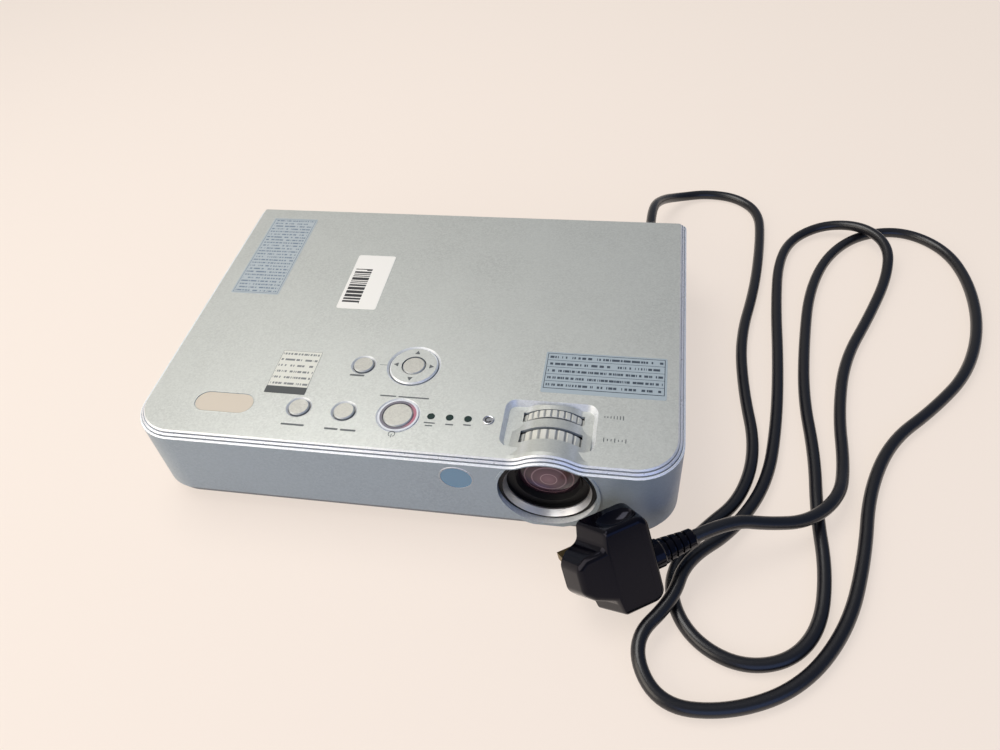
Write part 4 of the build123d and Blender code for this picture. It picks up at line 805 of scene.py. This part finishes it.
# %% Place of the plug
plug_heading = math.radians(33.2)
plug_lean = math.radians(59.5)
plug_along = Vector((math.cos(plug_heading), math.sin(plug_heading), 0))
plug_level = Vector((plug_along.y, -plug_along.x, 0))
plug_back = plug_level * math.sin(plug_lean) + Vector((0, 0, math.cos(plug_lean)))
plug_axes = Matrix((plug_along, plug_back.cross(plug_along), plug_back)).transposed().to_4x4()
plug_place = Matrix.Translation(in_mm(136.2, -130.2, 0)) @ plug_axes
print("plug at", [round(n / MM, 1) for n in plug_place.translation])

# %% Block, nose and back of the plug
block((-15, 26, 8), (30, 52, 24))
# The nose in three steps: how far each reaches, and how much it narrows.
choose("FACE", lambda at, facing: facing.x < -0.9)
for reach, narrowing in ((2, 0.62), (7, 0.80), (4, 0.62)):
    bpy.ops.mesh.extrude_region_move(TRANSFORM_OT_translate={"value": (-reach * MM, 0, 0)})
    bpy.ops.transform.resize(value=(1, narrowing, 1), center_override=in_mm(0, 26, 8))
# The back is pulled in from the nose's end and from one side, and then falls towards the nose in two steps.
choose("FACE", lambda at, facing: facing.z > 0.9)
bpy.ops.transform.resize(value=(0.745, 0.9, 1), center_override=in_mm(0, 50, 20))
for limit, slide, fall in ((-26, 4.4, 4), (-35, 2, 1.5)):
    choose("VERT", lambda at: at.z > 12 and at.x < limit)
    bpy.ops.transform.translate(value=(-slide * MM, 0, -fall * MM))
# The two upright edges at the cord's end are rounded wider than the rest.
choose("EDGE", lambda a, b: abs(a.z - b.z) > 12 and a.x > -1 and b.x > -1)
bpy.ops.mesh.bevel(offset=6 * MM, segments=5, profile=0.5)
bpy.ops.object.mode_set(mode="OBJECT")
plug_shell = bpy.context.object
print("plug block", len(plug_shell.data.polygons), "faces")

# %% Round edges and flat pin face
rounding = plug_shell.modifiers.new("rounding", "BEVEL")
rounding.width = 2.4 * MM
rounding.segments = 6
rounding.limit_method = "ANGLE"
rounding.angle_limit = math.radians(30)
bpy.ops.object.modifier_apply(modifier=rounding.name)
choose("FACE", lambda at, facing: True)
bpy.ops.mesh.bisect(plane_co=(0, 0, 0), plane_no=(0, 0, 1), use_fill=True, clear_inner=True)
bpy.ops.object.mode_set(mode="OBJECT")
print("rounded plug", len(plug_shell.data.polygons), "faces")

# %% Finger hollows
finger_radii = (11.5, 7.5, 7.5)
for hollow_y in (54.6, -0.4):
    begin()
    bpy.ops.mesh.primitive_uv_sphere_add(segments=48, ring_count=24, radius=1.0, location=in_mm(-12, hollow_y, 11))
    finger = bpy.context.object
    finger.scale = in_mm(*finger_radii)
    hollow = plug_shell.modifiers.new("finger_hollow", "BOOLEAN")
    hollow.object = finger
    hollow.solver = "EXACT"
    begin()
    bpy.context.view_layer.objects.active = plug_shell
    plug_shell.select_set(True)
    bpy.ops.object.modifier_apply(modifier=hollow.name)
    bpy.data.objects.remove(finger)
print("plug with hollows", len(plug_shell.data.polygons), "faces")

# %% Plug shell
plug_shell.matrix_world = plug_place
plug_shell = settle("plug_shell", plug_rubber, "case", 32)
even = plug_shell.modifiers.new("even_shading", "WEIGHTED_NORMAL")
even.keep_sharp = True
bpy.ops.object.modifier_apply(modifier=even.name)
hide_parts("mains_plug")
print("plug shell", tuple(round(n / MM, 1) for n in plug_shell.dimensions), "mm")

# %% [markdown]
# ## Boots of the lead
# At each end a ribbed boot keeps the lead from bending sharply. Turning a profile would make it too. Here a disc is
# extruded and scaled step by step, which gives each groove and rib its real width.

# %% Round body from sections


def stacked(sections):
    """Round body along +X. It starts as a disc, and each next (place, radius) in millimetres extrudes and scales it."""
    begin()
    (start, radius), *rest = sections
    bpy.ops.mesh.primitive_circle_add(vertices=32, radius=radius * MM, fill_type="NGON", location=in_mm(start, 0, 0),
                                      rotation=(0, math.radians(90), 0))
    bpy.ops.object.transform_apply(location=True, rotation=True, scale=True)
    choose("FACE", lambda at, facing: True)
    for place, reach in rest:
        bpy.ops.mesh.extrude_region_move(TRANSFORM_OT_translate={"value": ((place - start) * MM, 0, 0)})
        bpy.ops.transform.resize(value=(1, reach / radius, reach / radius), center_override=in_mm(place, 0, 0))
        start, radius = place, reach
    bpy.ops.mesh.select_all(action="SELECT")
    bpy.ops.mesh.normals_make_consistent(inside=False)
    bpy.ops.object.mode_set(mode="OBJECT")
    return bpy.context.object


# %% Ribbed boot


def ribs(start, outer, count, pitch, taper):
    """Sections of ribs with grooves about a millimetre wide and deep, each rib smaller than the last by the taper."""
    rows = []
    for index in range(count):
        x, radius = start + index * pitch, outer - index * taper
        rows += [(x, radius), (x + 0.25, radius - 1.1), (x + 1.05, radius - 1.1), (x + 1.3, radius - 0.1)]
    return rows


def boot(name, sections, place, replaced):
    """Ribbed boot from its sections along +X, moved to its place by a matrix."""
    piece = stacked(sections)
    piece.matrix_world = place
    piece = settle(name, plug_rubber, "case", 30)
    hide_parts(replaced)
    print(name, len(piece.data.polygons), "faces")
    return piece


# %% The two boots
plug_end = plug_place @ Matrix.Translation(in_mm(0, 25, 12))
plug_sections = [(-3.5, 6.6), (0.0, 7.2), (4.6, 7.2), (5.4, 6.6), *ribs(7.0, 6.5, 4, 3.8, 0.45), (23.2, 4.9),
                 (23.9, 4.3)]
plug_boot = boot("plug_boot", plug_sections, plug_end, "plug_relief")
rear_end = Matrix.Translation(in_mm(126, 128, 24)) @ Matrix.Rotation(math.pi / 2, 4, "Z")
rear_sections = [(-1.0, 5.6), (0.5, 6.2), *ribs(2.6, 6.1, 4, 4.0, 0.4), (19.2, 4.6), (19.9, 4.2)]
rear_boot = boot("rear_boot", rear_sections, rear_end, "connector_relief")

# %% [markdown]
# ## The lead's finish and its place on the case
# The curve was made first, so that its room on the floor was known. Now it gets its sheath, rides on the case and
# takes the place of the plain tube in the construction model.

# %% Lead
lead_data.materials.append(cord_rubber)
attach(mains_lead, "case")
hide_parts("power_cord")
print("lead declared", round(lead_length, 3), "m")
